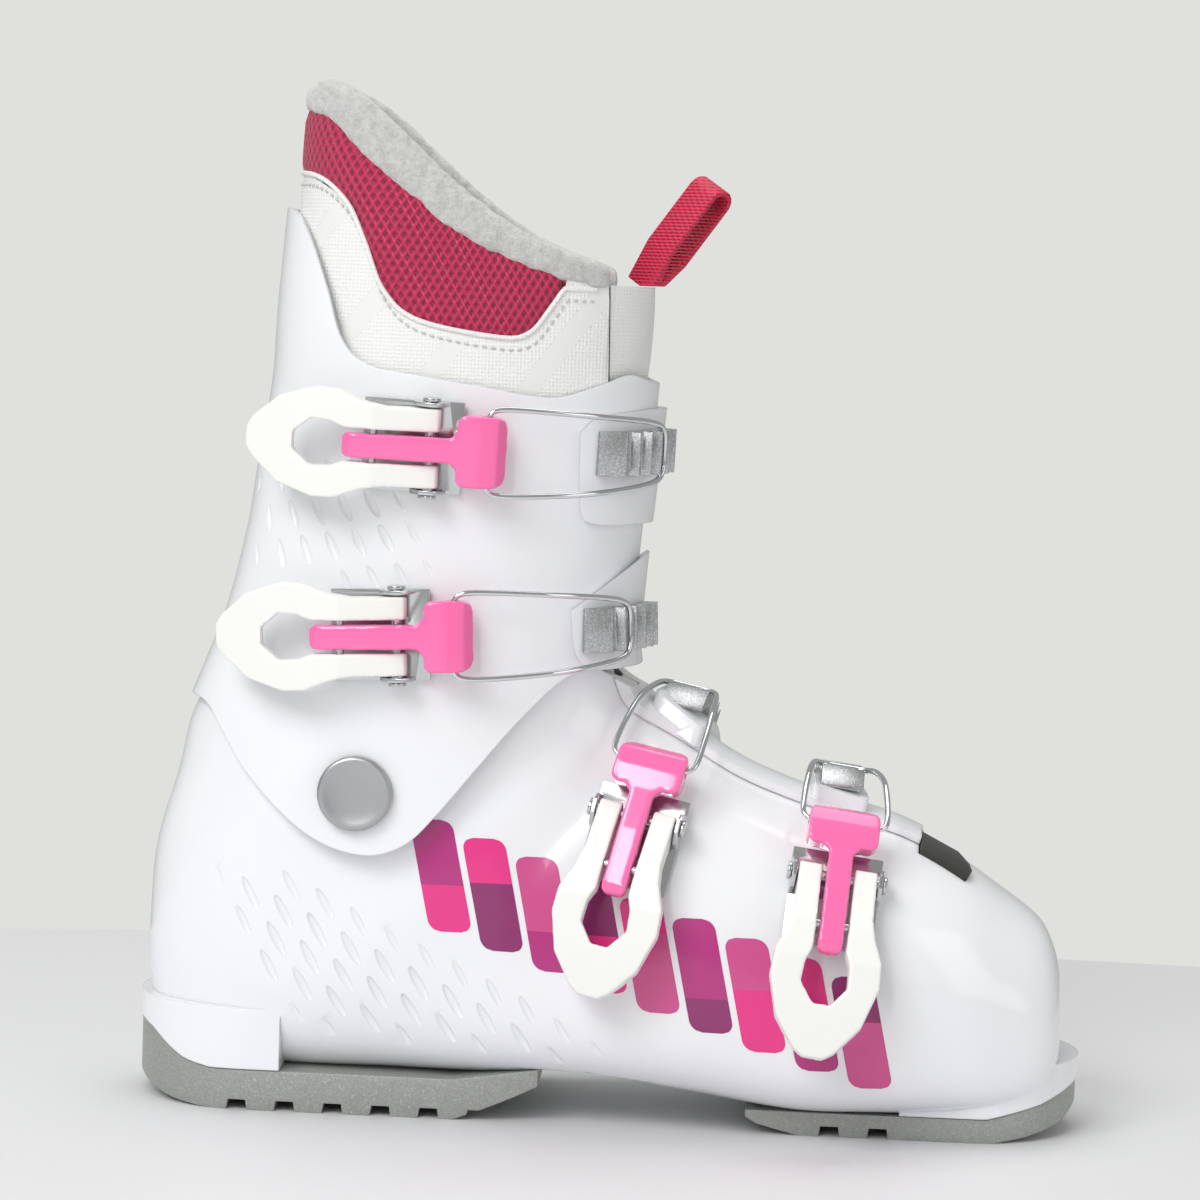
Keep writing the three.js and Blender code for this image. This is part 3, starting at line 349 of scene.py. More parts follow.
def in_outline(x, z, outline):
    """Whether a point lies in a closed outline."""
    within = False
    for (ax, az), (bx, bz) in zip(outline, [*outline[1:], outline[0]]):
        if (az > z) != (bz > z) and x < (bx - ax) * (z - az) / (bz - az) + ax:
            within = not within
    return within


def edge_distance(x, z, outline):
    """How far a point lies from a closed outline."""
    ends = np.asarray(outline, float)
    starts = np.roll(ends, 1, axis=0)
    run = ends - starts
    share = ((np.array([x, z]) - starts) * run).sum(1) / np.maximum((run * run).sum(1), 1e-9)
    near = starts + run * np.clip(share, 0, 1)[:, None]
    return float(np.hypot(*(near - [x, z]).T).min())


# ---------------------------------------------------------------- nodes
def add_node(tree, kind, settings=None, links=None, feeds=None):
    """Adds a node with its settings, its inputs' values or links, and the socket that it feeds."""
    node = tree.nodes.new(kind)
    for key, value in (settings or {}).items():
        setattr(node, key, value)
    for key, value in (links or {}).items():
        if isinstance(value, bpy.types.Node):
            value = value.outputs[0]
        socket = node.inputs[key]
        if isinstance(value, bpy.types.NodeSocket):
            tree.links.new(value, socket)
        else:
            socket.default_value = value
    if feeds is not None:
        tree.links.new(node.outputs[0], feeds)
    return node


def linear(hex_colour):
    """An sRGB hex colour as linear red, green, blue and alpha."""
    channels = [int(hex_colour[i : i + 2], 16) / 255 for i in (1, 3, 5)]
    return (*[c / 12.92 if c <= 0.04045 else ((c + 0.055) / 1.055) ** 2.4 for c in channels], 1.0)


def new_material(name, colour, roughness, **sockets):
    """A material with its shader's plain values set."""
    material = bpy.data.materials.new(name)
    material.use_nodes = True
    shader = material.node_tree.nodes["Principled BSDF"]
    shader.inputs["Base Color"].default_value = linear(colour) if isinstance(colour, str) else colour
    shader.inputs["Roughness"].default_value = roughness
    for key, value in sockets.items():
        shader.inputs[key.replace("_", " ")].default_value = value
    return material, material.node_tree, shader


def object_place(tree, scale=1.0, turn=(0.0, 0.0, 0.0)):
    """Object coordinates in millimetres times scale, turned."""
    place = add_node(tree, "ShaderNodeTexCoord")
    size = scale / MM
    return add_node(
        tree, "ShaderNodeMapping", {}, {0: place.outputs["Object"], "Scale": (size,) * 3, "Rotation": turn}
    ).outputs[0]


def set_stops(ramp, stops):
    """Gives a colour ramp its stops, as places and hex colours."""
    band = ramp.color_ramp
    while len(band.elements) < len(stops):
        band.elements.new(0.5)
    for element, (position, colour) in zip(band.elements, stops):
        element.position = position
        element.color = linear(colour)
    return ramp


# ---------------------------------------------------------------- materials
def shell_polyurethane(colour):
    """Injection-moulded polyurethane ether: a glossy wet white with a faint orange peel."""
    material, tree, shader = new_material(
        "moulded polyurethane", colour, 0.2, IOR=1.5, Coat_Weight=0.35, Coat_Roughness=0.08
    )
    shader.inputs["Subsurface Weight"].default_value = 0.12
    shader.inputs["Subsurface Radius"].default_value = (1.0, 1.0, 1.0)
    shader.inputs["Subsurface Scale"].default_value = 1.5 * MM
    place = object_place(tree)
    haze = set_stops(
        add_node(
            tree,
            "ShaderNodeValToRGB",
            {},
            {
                "Fac": add_node(
                    tree,
                    "ShaderNodeTexNoise",
                    {},
                    {"Vector": place, "Scale": 0.03, "Detail": 3.0},
                ),
            },
        ),
        [(0.35, "#707070"), (0.7, "#8C8C8C")],
    )
    rough = add_node(tree, "ShaderNodeMath", {"operation": "MULTIPLY"}, {0: haze, 1: 0.85})
    tree.links.new(rough.outputs[0], shader.inputs["Roughness"])
    edge = add_node(tree, "ShaderNodeBevel", {"samples": 4}, {"Radius": 0.7 * MM}).outputs[0]
    peel = add_node(tree, "ShaderNodeTexNoise", {}, {"Vector": place, "Scale": 0.45, "Detail": 1.0})
    add_node(
        tree,
        "ShaderNodeBump",
        {},
        {"Height": peel, "Distance": 0.012 * MM, "Strength": 1.0, "Normal": edge},
        shader.inputs["Normal"],
    )
    return material


def lever_polyamide(colour):
    """Moulded polyamide: a warmer, drier white than the shell with a fine spark-eroded grain."""
    material, tree, shader = new_material("moulded polyamide", colour, 0.38, IOR=1.53)
    place = object_place(tree)
    add_node(
        tree,
        "ShaderNodeBump",
        {},
        {
            "Height": add_node(tree, "ShaderNodeTexNoise", {}, {"Vector": place, "Scale": 2.5}),
            "Distance": 0.015 * MM,
            "Strength": 1.0,
        },
        shader.inputs["Normal"],
    )
    return material


def yoke_plastic(colour):
    """Tinted gloss plastic: saturated, with a soft glow under a clear skin."""
    material, tree, shader = new_material(
        "tinted gloss plastic", colour, 0.16, IOR=1.53, Coat_Weight=0.6, Coat_Roughness=0.05
    )
    shader.inputs["Subsurface Weight"].default_value = 0.06
    shader.inputs["Subsurface Radius"].default_value = (1.0, 0.35, 0.5)
    shader.inputs["Subsurface Scale"].default_value = 1.2 * MM
    add_node(
        tree,
        "ShaderNodeBump",
        {},
        {
            "Height": add_node(
                tree,
                "ShaderNodeTexNoise",
                {},
                {"Vector": object_place(tree), "Scale": 0.5, "Detail": 1.0},
            ),
            "Distance": 0.01 * MM,
            "Strength": 1.0,
        },
        shader.inputs["Normal"],
    )
    return material


def stamped_steel():
    """Bright stamped steel: drawn along one way, with a slight smear of polish."""
    material, tree, shader = new_material("bright stamped steel", "#C9CBCD", 0.22, Metallic=1.0)
    place = add_node(
        tree,
        "ShaderNodeMapping",
        {},
        {0: add_node(tree, "ShaderNodeTexCoord").outputs["Object"], "Scale": (200.0, 200.0, 3000.0)},
    ).outputs[0]
    add_node(
        tree,
        "ShaderNodeBump",
        {},
        {
            "Height": add_node(tree, "ShaderNodeTexNoise", {}, {"Vector": place, "Scale": 1.0}),
            "Distance": 0.01 * MM,
            "Strength": 1.0,
        },
        shader.inputs["Normal"],
    )
    return material


def drawn_wire():
    """Chromed spring wire: mirror bright with fine draw lines."""
    material, tree, shader = new_material("chromed spring wire", "#DADCDF", 0.1, Metallic=1.0)
    add_node(
        tree,
        "ShaderNodeBump",
        {},
        {
            "Height": add_node(
                tree,
                "ShaderNodeTexNoise",
                {},
                {"Vector": object_place(tree), "Scale": 1.5},
            ),
            "Distance": 0.006 * MM,
            "Strength": 1.0,
        },
        shader.inputs["Normal"],
    )
    return material


def cast_zinc():
    """Cast zinc ladder: satin grey with a fine sparkle of bright grains."""
    material, tree, shader = new_material("cast zinc", "#A9AAAC", 0.36, Metallic=1.0)
    place = object_place(tree)
    grains = add_node(tree, "ShaderNodeTexVoronoi", {}, {"Vector": place, "Scale": 3.4})
    tone = set_stops(
        add_node(tree, "ShaderNodeValToRGB", {}, {"Fac": grains.outputs["Color"]}),
        [(0.2, "#A6A7A9"), (0.6, "#B9BABC"), (0.93, "#DCDDDF")],
    )
    tree.links.new(tone.outputs[0], shader.inputs["Base Color"])
    add_node(
        tree,
        "ShaderNodeBump",
        {},
        {"Height": grains.outputs["Distance"], "Distance": 0.02 * MM, "Strength": 1.0},
        shader.inputs["Normal"],
    )
    return material


def flaked_sole():
    """Sole plastic with aluminium flake: grey, satin, and speckled with fine bright points."""
    material, tree, shader = new_material("flaked sole plastic", "#A0A2A0", 0.45, IOR=1.5)
    place = object_place(tree)
    flakes = add_node(tree, "ShaderNodeTexVoronoi", {}, {"Vector": place, "Scale": 2.6})
    tone = set_stops(
        add_node(tree, "ShaderNodeValToRGB", {}, {"Fac": flakes.outputs["Color"]}),
        [(0.1, "#989A97"), (0.5, "#A1A3A0"), (0.82, "#A9ABA8"), (0.97, "#C2C3C1")],
    )
    tree.links.new(tone.outputs[0], shader.inputs["Base Color"])
    shader.inputs["Metallic"].default_value = 0.35
    add_node(
        tree,
        "ShaderNodeBump",
        {},
        {
            "Height": add_node(
                tree,
                "ShaderNodeTexNoise",
                {},
                {"Vector": place, "Scale": 1.2, "Detail": 3.0},
            ),
            "Distance": 0.06 * MM,
            "Strength": 1.0,
        },
        shader.inputs["Normal"],
    )
    return material


def satin_rivet():
    """Cast aluminium button: satin, lightly tumbled."""
    material, tree, shader = new_material("satin cast aluminium", "#B4B5B7", 0.4, Metallic=1.0)
    add_node(
        tree,
        "ShaderNodeBump",
        {},
        {
            "Height": add_node(
                tree,
                "ShaderNodeTexNoise",
                {},
                {"Vector": object_place(tree), "Scale": 2.0, "Detail": 3.0},
            ),
            "Distance": 0.03 * MM,
            "Strength": 1.0,
        },
        shader.inputs["Normal"],
    )
    return material


def charcoal_plastic(colour="#33332F"):
    """Dark insert moulded with a fine texture."""
    material, tree, shader = new_material("textured dark plastic", colour, 0.5, IOR=1.5)
    add_node(
        tree,
        "ShaderNodeBump",
        {},
        {
            "Height": add_node(
                tree,
                "ShaderNodeTexNoise",
                {},
                {"Vector": object_place(tree), "Scale": 1.6, "Detail": 3.0},
            ),
            "Distance": 0.06 * MM,
            "Strength": 1.0,
        },
        shader.inputs["Normal"],
    )
    return material


def woven_place(tree):
    """The fabric's own coordinates in millimetres, along and across the leg."""
    return add_node(tree, "ShaderNodeUVMap", {"uv_map": "cloth"}).outputs["UV"]


def waves(tree, place, pitch, turn):
    """A soft ridge every pitch millimetres, at an angle."""
    turned = add_node(
        tree, "ShaderNodeMapping", {}, {0: place, "Rotation": (0, 0, math.radians(turn))}
    ).outputs[0]
    parts = add_node(tree, "ShaderNodeSeparateXYZ", {}, {0: turned}).outputs
    phase = add_node(
        tree,
        "ShaderNodeMath",
        {"operation": "MULTIPLY"},
        {0: parts["X"], 1: 2 * math.pi / pitch},
    )
    return add_node(
        tree,
        "ShaderNodeMath",
        {"operation": "MULTIPLY_ADD"},
        {0: add_node(tree, "ShaderNodeMath", {"operation": "SINE"}, {0: phase}), 1: 0.5, 2: 0.5},
    )


def woven_print(colour):
    """Synthetic leather pressed with a linen weave: white, with smooth slanted bands."""
    material, tree, shader = new_material("linen pressed synthetic leather", colour, 0.55, IOR=1.45)
    place = woven_place(tree)
    # Real threads are about 0.4 mm apart; they are drawn at 1.1 mm so that they show.
    warp = waves(tree, place, 1.1, 0)
    weft = waves(tree, place, 1.1, 90)
    slub = add_node(tree, "ShaderNodeTexNoise", {}, {"Vector": place, "Scale": 0.9, "Detail": 3.0})
    cloth = add_node(
        tree,
        "ShaderNodeMath",
        {"operation": "MULTIPLY"},
        {0: add_node(tree, "ShaderNodeMath", {"operation": "MAXIMUM"}, {0: warp, 1: weft}), 1: slub},
    )
    band = waves(tree, place, 26.0, 38)
    smooth = add_node(tree, "ShaderNodeMath", {"operation": "GREATER_THAN"}, {0: band, 1: 0.88})
    height = add_node(
        tree,
        "ShaderNodeMath",
        {"operation": "MULTIPLY"},
        {0: cloth, 1: add_node(tree, "ShaderNodeMath", {"operation": "SUBTRACT"}, {0: 1.0, 1: smooth})},
    )
    add_node(
        tree,
        "ShaderNodeBump",
        {},
        {"Height": height, "Distance": 0.28 * MM, "Strength": 1.0},
        shader.inputs["Normal"],
    )
    # The colour follows the bump's height: the gaps between the threads and the pressed-down bands are painted
    # darker, as shade in the low places.
    tone = set_stops(
        add_node(tree, "ShaderNodeValToRGB", {}, {"Fac": height}),
        [(0.0, "#E9E9E7"), (0.3, "#EDEDEB"), (0.7, "#F4F4F3")],
    )
    tree.links.new(tone.outputs[0], shader.inputs["Base Color"])
    return material


def basket_mesh(colour, dark):
    """Coarse basket-woven nylon: plump crossing yarns with shaded gaps."""
    material, tree, shader = new_material("basket woven nylon", colour, 0.5, Sheen_Weight=0.1)
    place = woven_place(tree)
    # Yarns lie about 1.5 mm apart; drawn at 2.3 mm, as coarse as the eye reads the pairs.
    first = waves(tree, place, 2.3, 32)
    second = waves(tree, place, 2.3, -32)
    height = add_node(
        tree,
        "ShaderNodeMath",
        {"operation": "MULTIPLY"},
        {0: add_node(tree, "ShaderNodeMath", {"operation": "MAXIMUM"}, {0: first, 1: second}), 1: 1.0},
    )
    pits = add_node(tree, "ShaderNodeMath", {"operation": "MULTIPLY"}, {0: first, 1: second})
    relief = add_node(
        tree,
        "ShaderNodeMath",
        {"operation": "ADD"},
        {
            0: add_node(tree, "ShaderNodeMath", {"operation": "MULTIPLY"}, {0: height, 1: 0.6}),
            1: add_node(tree, "ShaderNodeMath", {"operation": "MULTIPLY"}, {0: pits, 1: 0.4}),
        },
    )
    tone = set_stops(
        add_node(tree, "ShaderNodeValToRGB", {}, {"Fac": relief}),
        [(0.12, dark), (0.45, "#B01C4A"), (0.85, colour)],
    )
    tree.links.new(tone.outputs[0], shader.inputs["Base Color"])
    fibre = waves(tree, place, 0.7, -32)
    add_node(
        tree,
        "ShaderNodeBump",
        {},
        {
            "Height": add_node(
                tree,
                "ShaderNodeMath",
                {"operation": "MULTIPLY_ADD"},
                {0: fibre, 1: 0.12, 2: relief},
            ),
            "Distance": 0.7 * MM,
            "Strength": 1.0,
        },
        shader.inputs["Normal"],
    )
    return material


def brushed_fleece(colour):
    """Brushed polyester fleece: matt, clumped pile with a bright fringe of fibre ends."""
    material, tree, shader = new_material(
        "brushed fleece", colour, 1.0, Sheen_Weight=0.6, Sheen_Roughness=0.6
    )
    place = object_place(tree)
    clumps = add_node(
        tree,
        "ShaderNodeTexNoise",
        {},
        {"Vector": place, "Scale": 0.4, "Detail": 4.0, "Roughness": 0.6},
    )
    fibres = add_node(
        tree,
        "ShaderNodeTexNoise",
        {},
        {"Vector": place, "Scale": 1.6, "Detail": 3.0, "Roughness": 0.7},
    )
    height = add_node(
        tree,
        "ShaderNodeMath",
        {"operation": "MULTIPLY_ADD"},
        {0: fibres, 1: 0.35, 2: clumps},
    )
    # The colour follows the bump's height: painted shade in the hollows between clumps and painted highlight on
    # the raised fibre ends.
    tone = set_stops(
        add_node(tree, "ShaderNodeValToRGB", {}, {"Fac": height}),
        [(0.4, "#AFAFAC"), (0.62, "#C0C0BD"), (0.85, "#CFCFCC")],
    )
    tree.links.new(tone.outputs[0], shader.inputs["Base Color"])
    add_node(
        tree,
        "ShaderNodeBump",
        {},
        {"Height": height, "Distance": 0.8 * MM, "Strength": 1.0},
        shader.inputs["Normal"],
    )
    return material


def lining_fabric(colour):
    """Brushed lining knit inside the liner."""
    material, tree, shader = new_material("brushed lining", colour, 0.95, Sheen_Weight=0.4)
    place = object_place(tree)
    pile = add_node(tree, "ShaderNodeTexNoise", {}, {"Vector": place, "Scale": 1.1, "Detail": 3.0})
    # The colour follows the pile's bump: painted darker in its hollows, as shade.
    tone = set_stops(
        add_node(tree, "ShaderNodeValToRGB", {}, {"Fac": pile}),
        [(0.3, "#8E8E8C"), (0.7, "#B5B5B2")],
    )
    tree.links.new(tone.outputs[0], shader.inputs["Base Color"])
    add_node(
        tree,
        "ShaderNodeBump",
        {},
        {"Height": pile, "Distance": 0.4 * MM, "Strength": 1.0},
        shader.inputs["Normal"],
    )
    return material


def ribbed_webbing(colour, dark):
    """Woven nylon webbing: fine ribs across it with a twill sheen."""
    material, tree, shader = new_material("nylon webbing", colour, 0.5, Sheen_Weight=0.1)
    place = woven_place(tree)
    ribs = waves(tree, place, 1.0, 90)
    twill = waves(tree, place, 1.4, 45)
    height = add_node(
        tree,
        "ShaderNodeMath",
        {"operation": "MULTIPLY_ADD"},
        {0: twill, 1: 0.4, 2: ribs},
    )
    # The colour follows the ribs' height: painted shade in the valleys between the ribs and twill lines, and
    # painted highlight on their tops.
    tree.links.new(
        set_stops(
            add_node(tree, "ShaderNodeValToRGB", {}, {"Fac": height}),
            [(0.2, dark), (0.8, colour)],
        ).outputs[0],
        shader.inputs["Base Color"],
    )
    add_node(
        tree,
        "ShaderNodeBump",
        {},
        {"Height": height, "Distance": 0.25 * MM, "Strength": 1.0},
        shader.inputs["Normal"],
    )
    return material


def foam(colour="#4A4A4C"):
    """Closed-cell foam: dull with fine pores."""
    material, tree, shader = new_material("closed-cell foam", colour, 0.9)
    add_node(
        tree,
        "ShaderNodeBump",
        {},
        {
            "Height": add_node(
                tree,
                "ShaderNodeTexNoise",
                {},
                {"Vector": object_place(tree), "Scale": 1.4},
            ),
            "Distance": 0.2 * MM,
            "Strength": 1.0,
        },
        shader.inputs["Normal"],
    )
    return material


def pad_ink(name, colour):
    """Pad-printed ink: a thin gloss film that takes the plastic's own peel."""
    material, tree, shader = new_material(name, colour, 0.25, IOR=1.5, Coat_Weight=0.2)
    add_node(
        tree,
        "ShaderNodeBump",
        {},
        {
            "Height": add_node(
                tree,
                "ShaderNodeTexNoise",
                {},
                {"Vector": object_place(tree), "Scale": 0.45, "Detail": 1.0},
            ),
            "Distance": 0.012 * MM,
            "Strength": 1.0,
        },
        shader.inputs["Normal"],
    )
    return material


def thread(colour):
    """Twisted polyester sewing thread."""
    material, tree, shader = new_material("sewing thread", colour, 0.6, Sheen_Weight=0.3)
    add_node(
        tree,
        "ShaderNodeBump",
        {},
        {
            "Height": add_node(
                tree,
                "ShaderNodeTexNoise",
                {},
                {"Vector": object_place(tree), "Scale": 2.0, "Detail": 1.0},
            ),
            "Distance": 0.05 * MM,
            "Strength": 1.0,
        },
        shader.inputs["Normal"],
    )
    return material


materials = {}


def make_materials(settings):
    materials.update({
        "white_shell": shell_polyurethane((*settings.shell_colour, 1.0)),
        "white_lever": lever_polyamide((*settings.lever_colour, 1.0)),
        "pink_plastic": yoke_plastic((*settings.yoke_colour, 1.0)),
        "buckle_steel": stamped_steel(),
        "wire_chrome": drawn_wire(),
        "cast_silver": cast_zinc(),
        "grey_sole": flaked_sole(),
        "satin_rivet": satin_rivet(),
        "charcoal_insert": charcoal_plastic(),
        "white_woven": woven_print("#F2F2F0"),
        "raspberry_mesh": basket_mesh("#CB2258", "#7C0E36"),
        "grey_fleece": brushed_fleece("#CFCFCB"),
        "lining": lining_fabric("#A9A9A6"),
        "red_webbing": ribbed_webbing("#DC1A4A", "#A00E34"),
        "dark_foam": foam(),
        "thread": thread("#C9C9C7"),
        "piping": woven_print("#EDEDEB"),
    })


# ---------------------------------------------------------------- what repeats
def scatter_tree():
    """Geometry nodes that set one small rounded bead on each point, aimed by the point's attributes."""
    tree = bpy.data.node_groups.new("beads on points", "GeometryNodeTree")
    face = tree.interface
    face.new_socket("Points", in_out="INPUT", socket_type="NodeSocketGeometry")
    face.new_socket("Size", in_out="INPUT", socket_type="NodeSocketVector")
    face.new_socket("Detail", in_out="INPUT", socket_type="NodeSocketInt")
    face.new_socket("Material", in_out="INPUT", socket_type="NodeSocketMaterial")
    face.new_socket("Beads", in_out="OUTPUT", socket_type="NodeSocketGeometry")
    source = add_node(tree, "NodeGroupInput").outputs
    along = add_node(
        tree,
        "GeometryNodeInputNamedAttribute",
        {"data_type": "FLOAT_VECTOR"},
        {"Name": "along"},
    )
    out = add_node(tree, "GeometryNodeInputNamedAttribute", {"data_type": "FLOAT_VECTOR"}, {"Name": "out"})
    share = add_node(tree, "GeometryNodeInputNamedAttribute", {"data_type": "FLOAT"}, {"Name": "share"})
    aim = add_node(
        tree,
        "FunctionNodeAxesToRotation",
        {"primary_axis": "Z", "secondary_axis": "X"},
        {0: out.outputs[0], 1: along.outputs[0]},
    )
    bead = add_node(
        tree,
        "GeometryNodeMeshIcoSphere",
        {},
        {"Radius": 0.5, "Subdivisions": source["Detail"]},
    )
    sized = add_node(
        tree, "GeometryNodeTransform", {}, {"Geometry": bead.outputs["Mesh"], "Scale": source["Size"]}
    )
    placed = add_node(
        tree,
        "GeometryNodeInstanceOnPoints",
        {},
        {
            "Points": source["Points"],
            "Instance": sized.outputs[0],
            "Rotation": aim.outputs[0],
            "Scale": share.outputs[0],
        },
    )
    real = add_node(tree, "GeometryNodeRealizeInstances", {}, {0: placed.outputs[0]})
    dressed = add_node(
        tree, "GeometryNodeSetMaterial", {}, {"Geometry": real.outputs[0], "Material": source["Material"]}
    )
    add_node(tree, "NodeGroupOutput", {}, {0: dressed.outputs[0]})
    return tree


def beads(name, points, along, out, shares, size, material, detail=3):
    """Beads of one size, in millimetres, on points in metres."""
    tree = bpy.data.node_groups.get("beads on points") or scatter_tree()
    mesh = bpy.data.meshes.new(name)
    mesh.from_pydata([tuple(p) for p in points], [], [])
    for key, kind, values in (("along", "FLOAT_VECTOR", along), ("out", "FLOAT_VECTOR", out)):
        attribute = mesh.attributes.new(key, kind, "POINT")
        attribute.data.foreach_set("vector", np.asarray([tuple(v) for v in values], np.float32).ravel())
    attribute = mesh.attributes.new("share", "FLOAT", "POINT")
    attribute.data.foreach_set("value", np.asarray(shares, np.float32))
    piece = bpy.data.objects.new(name, mesh)
    bpy.context.scene.collection.objects.link(piece)
    step = piece.modifiers.new("beads", "NODES")
    step.node_group = tree
    sockets = {item.name: item.identifier for item in tree.interface.items_tree if item.in_out == "INPUT"}
    step[sockets["Size"]] = [length * MM for length in size]
    step[sockets["Detail"]] = detail
    step[sockets["Material"]] = material
    return bake(piece)


def stitch_row(name, points, normals, pitch, size, material):
    """Stitches every pitch along a line in metres."""
    points = np.asarray([tuple(p) for p in points])
    normals = np.asarray([tuple(n) for n in normals])
    length = np.concatenate([[0], np.cumsum(np.linalg.norm(np.diff(points, axis=0), axis=1))])
    where = np.arange(pitch * MM / 2, length[-1], pitch * MM)
    at = np.column_stack([np.interp(where, length, points[:, k]) for k in range(3)])
    out = np.column_stack([np.interp(where, length, normals[:, k]) for k in range(3)])
    ahead = np.column_stack([np.interp(where + 0.2 * MM, length, points[:, k]) for k in range(3)]) - at
    return beads(name, at, ahead, out, np.ones(len(at)), size, material, detail=2)


def tube(name, points, radius, sides=10):
    """A round cord along points in metres, as a mesh."""
    curve = bpy.data.curves.new(name, "CURVE")
    curve.dimensions = "3D"
    curve.bevel_depth = radius * MM
    curve.bevel_resolution = sides // 2
    curve.use_fill_caps = True
    line = curve.splines.new("POLY")
    line.points.add(len(points) - 1)
    for knot, point in zip(line.points, points):
        knot.co = (*point, 1.0)
    holder = bpy.data.objects.new(name, curve)
    bpy.context.scene.collection.objects.link(holder)
    graph = bpy.context.evaluated_depsgraph_get()
    mesh = bpy.data.meshes.new_from_object(holder.evaluated_get(graph))
    bpy.data.objects.remove(holder)
    piece = bpy.data.objects.new(name, mesh)
    bpy.context.scene.collection.objects.link(piece)
    return piece


# ---------------------------------------------------------------- dashes
DASH_SLOPE = Vector((0.5, 0, -0.86))
HEEL_DASHES = [(-116, 70), (-108, 44), (-98, 34), (-83, 25), (-50, 21), (-8, 19), (0, 25), (-16, 38),
               (-38, 46), (-60, 55), (-91, 73)]
CUFF_DASHES = [(-109, 186), (-109, 156), (-93, 160), (-75, 156), (-55, 164), (-58, 178), (-70, 196),
               (-90, 200)]


def dash_cutter(surface, region, side, step_down, step_across, length):
    """Shallow boat-shaped slots in a slanted lattice, fading at the region's edge."""
    points, along, out, shares = [], [], [], []
    for row in range(-30, 30):
        for column in range(-30, 30):
            x = region[0][0] + row * step_down[0] + column * step_across[0]
            z = region[0][1] + row * step_down[1] + column * step_across[1]
            if not in_outline(x, z, region):
                continue
            point, normal = seen_from_side(surface, x, z, side)
            if point is None:
                continue
            fade = min(edge_distance(x, z, region) / 7.0, 1.0)
            run = DASH_SLOPE - normal * DASH_SLOPE.dot(normal)
            points.append(point + normal * (0.35 * MM * (1 - fade)))
            along.append(run)
            out.append(normal)
            shares.append(0.7 + 0.3 * fade)
    return beads("dashes", points, along, out, shares, (length, 2.5, 1.9), None, detail=3)


# ---------------------------------------------------------------- lower shell
SHELL_WALL = 3.5
GAP = 0.3
FLAP_WALL = 2.6
PAD_HEIGHT = 4.0
SHELL_RIM = [(-200, 138), (-116, 138), *smooth_line([(-116, 138), (-96, 146), (-40, 146), (-14, 139),
                                                      (2, 130), (8, 128)])[1:], (200, 128)]
SOLE_LINE = [(-200, 26), (-150, 26), *smooth_line([(-136, 21), (-126, 14.5), (-117, 12.3)]), (-44, 12.3),
             *smooth_line([(-19, 16.3), (4, 15.5), (38, 9.4), (42, 7.3)]), (114, 7.3), (130, 11),
             (150, 19), (200, 19)]
FLOOR_LINE = [(-200, 20), (-20, 20), (45, 15), (200, 15)]
PLUG_OUTLINE = [(93, 90), (90.5, 80), (93.3, 77.5), (104.4, 75.5), (107.5, 78), (96, 90)]


def instep_flap(extra=0.0):
    lid = [(-14, -22), *smooth_line([(6, -16), (50, -14.5), (93, -13)], 6), (93, 26), (-14, 26)]
    root = [(-14, 3.6), (93, 3.6), (93, 26), (-14, 26)]
    cover = layer(SHELL_FORM, GAP, GAP + FLAP_WALL + extra, plan_prism(lid, 80, 142))
    return joined(cover, layer(SHELL_FORM, -1, GAP + 1, plan_prism(root, 80, 142)))


def ladder_block(name, margin):
    """The box round a ladder that its raised seat is cut from."""
    ladder = frame["nodes"][f"{name}_buckle_ladder"]
    turn = next(j for j in frame["joints"] if j["name"] == f"{name}_lever_turn")
    across = np.array(turn["axis"])
    points = np.array([v.co for v in ladder.data.vertices])
    centre = points.mean(0)
    flat = points - centre
    flat -= np.outer(flat @ across, across)
    ahead = np.linalg.svd(flat, full_matrices=False)[2][0]
    outward = np.cross(ahead, across)
    spans = [((points - centre) @ axis) for axis in (ahead, across, outward)]
    reach = [np.abs(span).max() + margin * MM for span in spans]
    reach[2] += 10 * MM
    corners = [
        (centre + sum(s * r * a for s, r, a in zip(signs, reach, (ahead, across, outward)))) / MM
        for signs in [(x, y, z) for z in (-1, 1) for x, y in ((-1, -1), (1, -1), (1, 1), (-1, 1))]
    ]
    faces = [(3, 2, 1, 0), (4, 5, 6, 7), (0, 1, 5, 4), (1, 2, 6, 5), (2, 3, 7, 6), (3, 0, 4, 7)]
    block = solid("block", corners, faces)
    mesh = bmesh.new()
    mesh.from_mesh(block.data)
    bmesh.ops.recalc_face_normals(mesh, faces=mesh.faces)
    up = Vector(outward)
    edges = [e for e in mesh.edges if abs((e.verts[0].co - e.verts[1].co).normalized().dot(up)) > 0.9]
    bmesh.ops.bevel(mesh, geom=edges, offset=2.5 * MM, segments=5, profile=0.5, affect="EDGES")
    mesh.to_mesh(block.data)
    mesh.free()
    return block


def ladder_seat(name, extra=0.0):
    """The raised seat under a lower ladder."""
    top = GAP + FLAP_WALL + PAD_HEIGHT - 0.1 + extra
    return layer(SHELL_FORM, GAP + 1, top, ladder_block(name, 2.0 + extra))


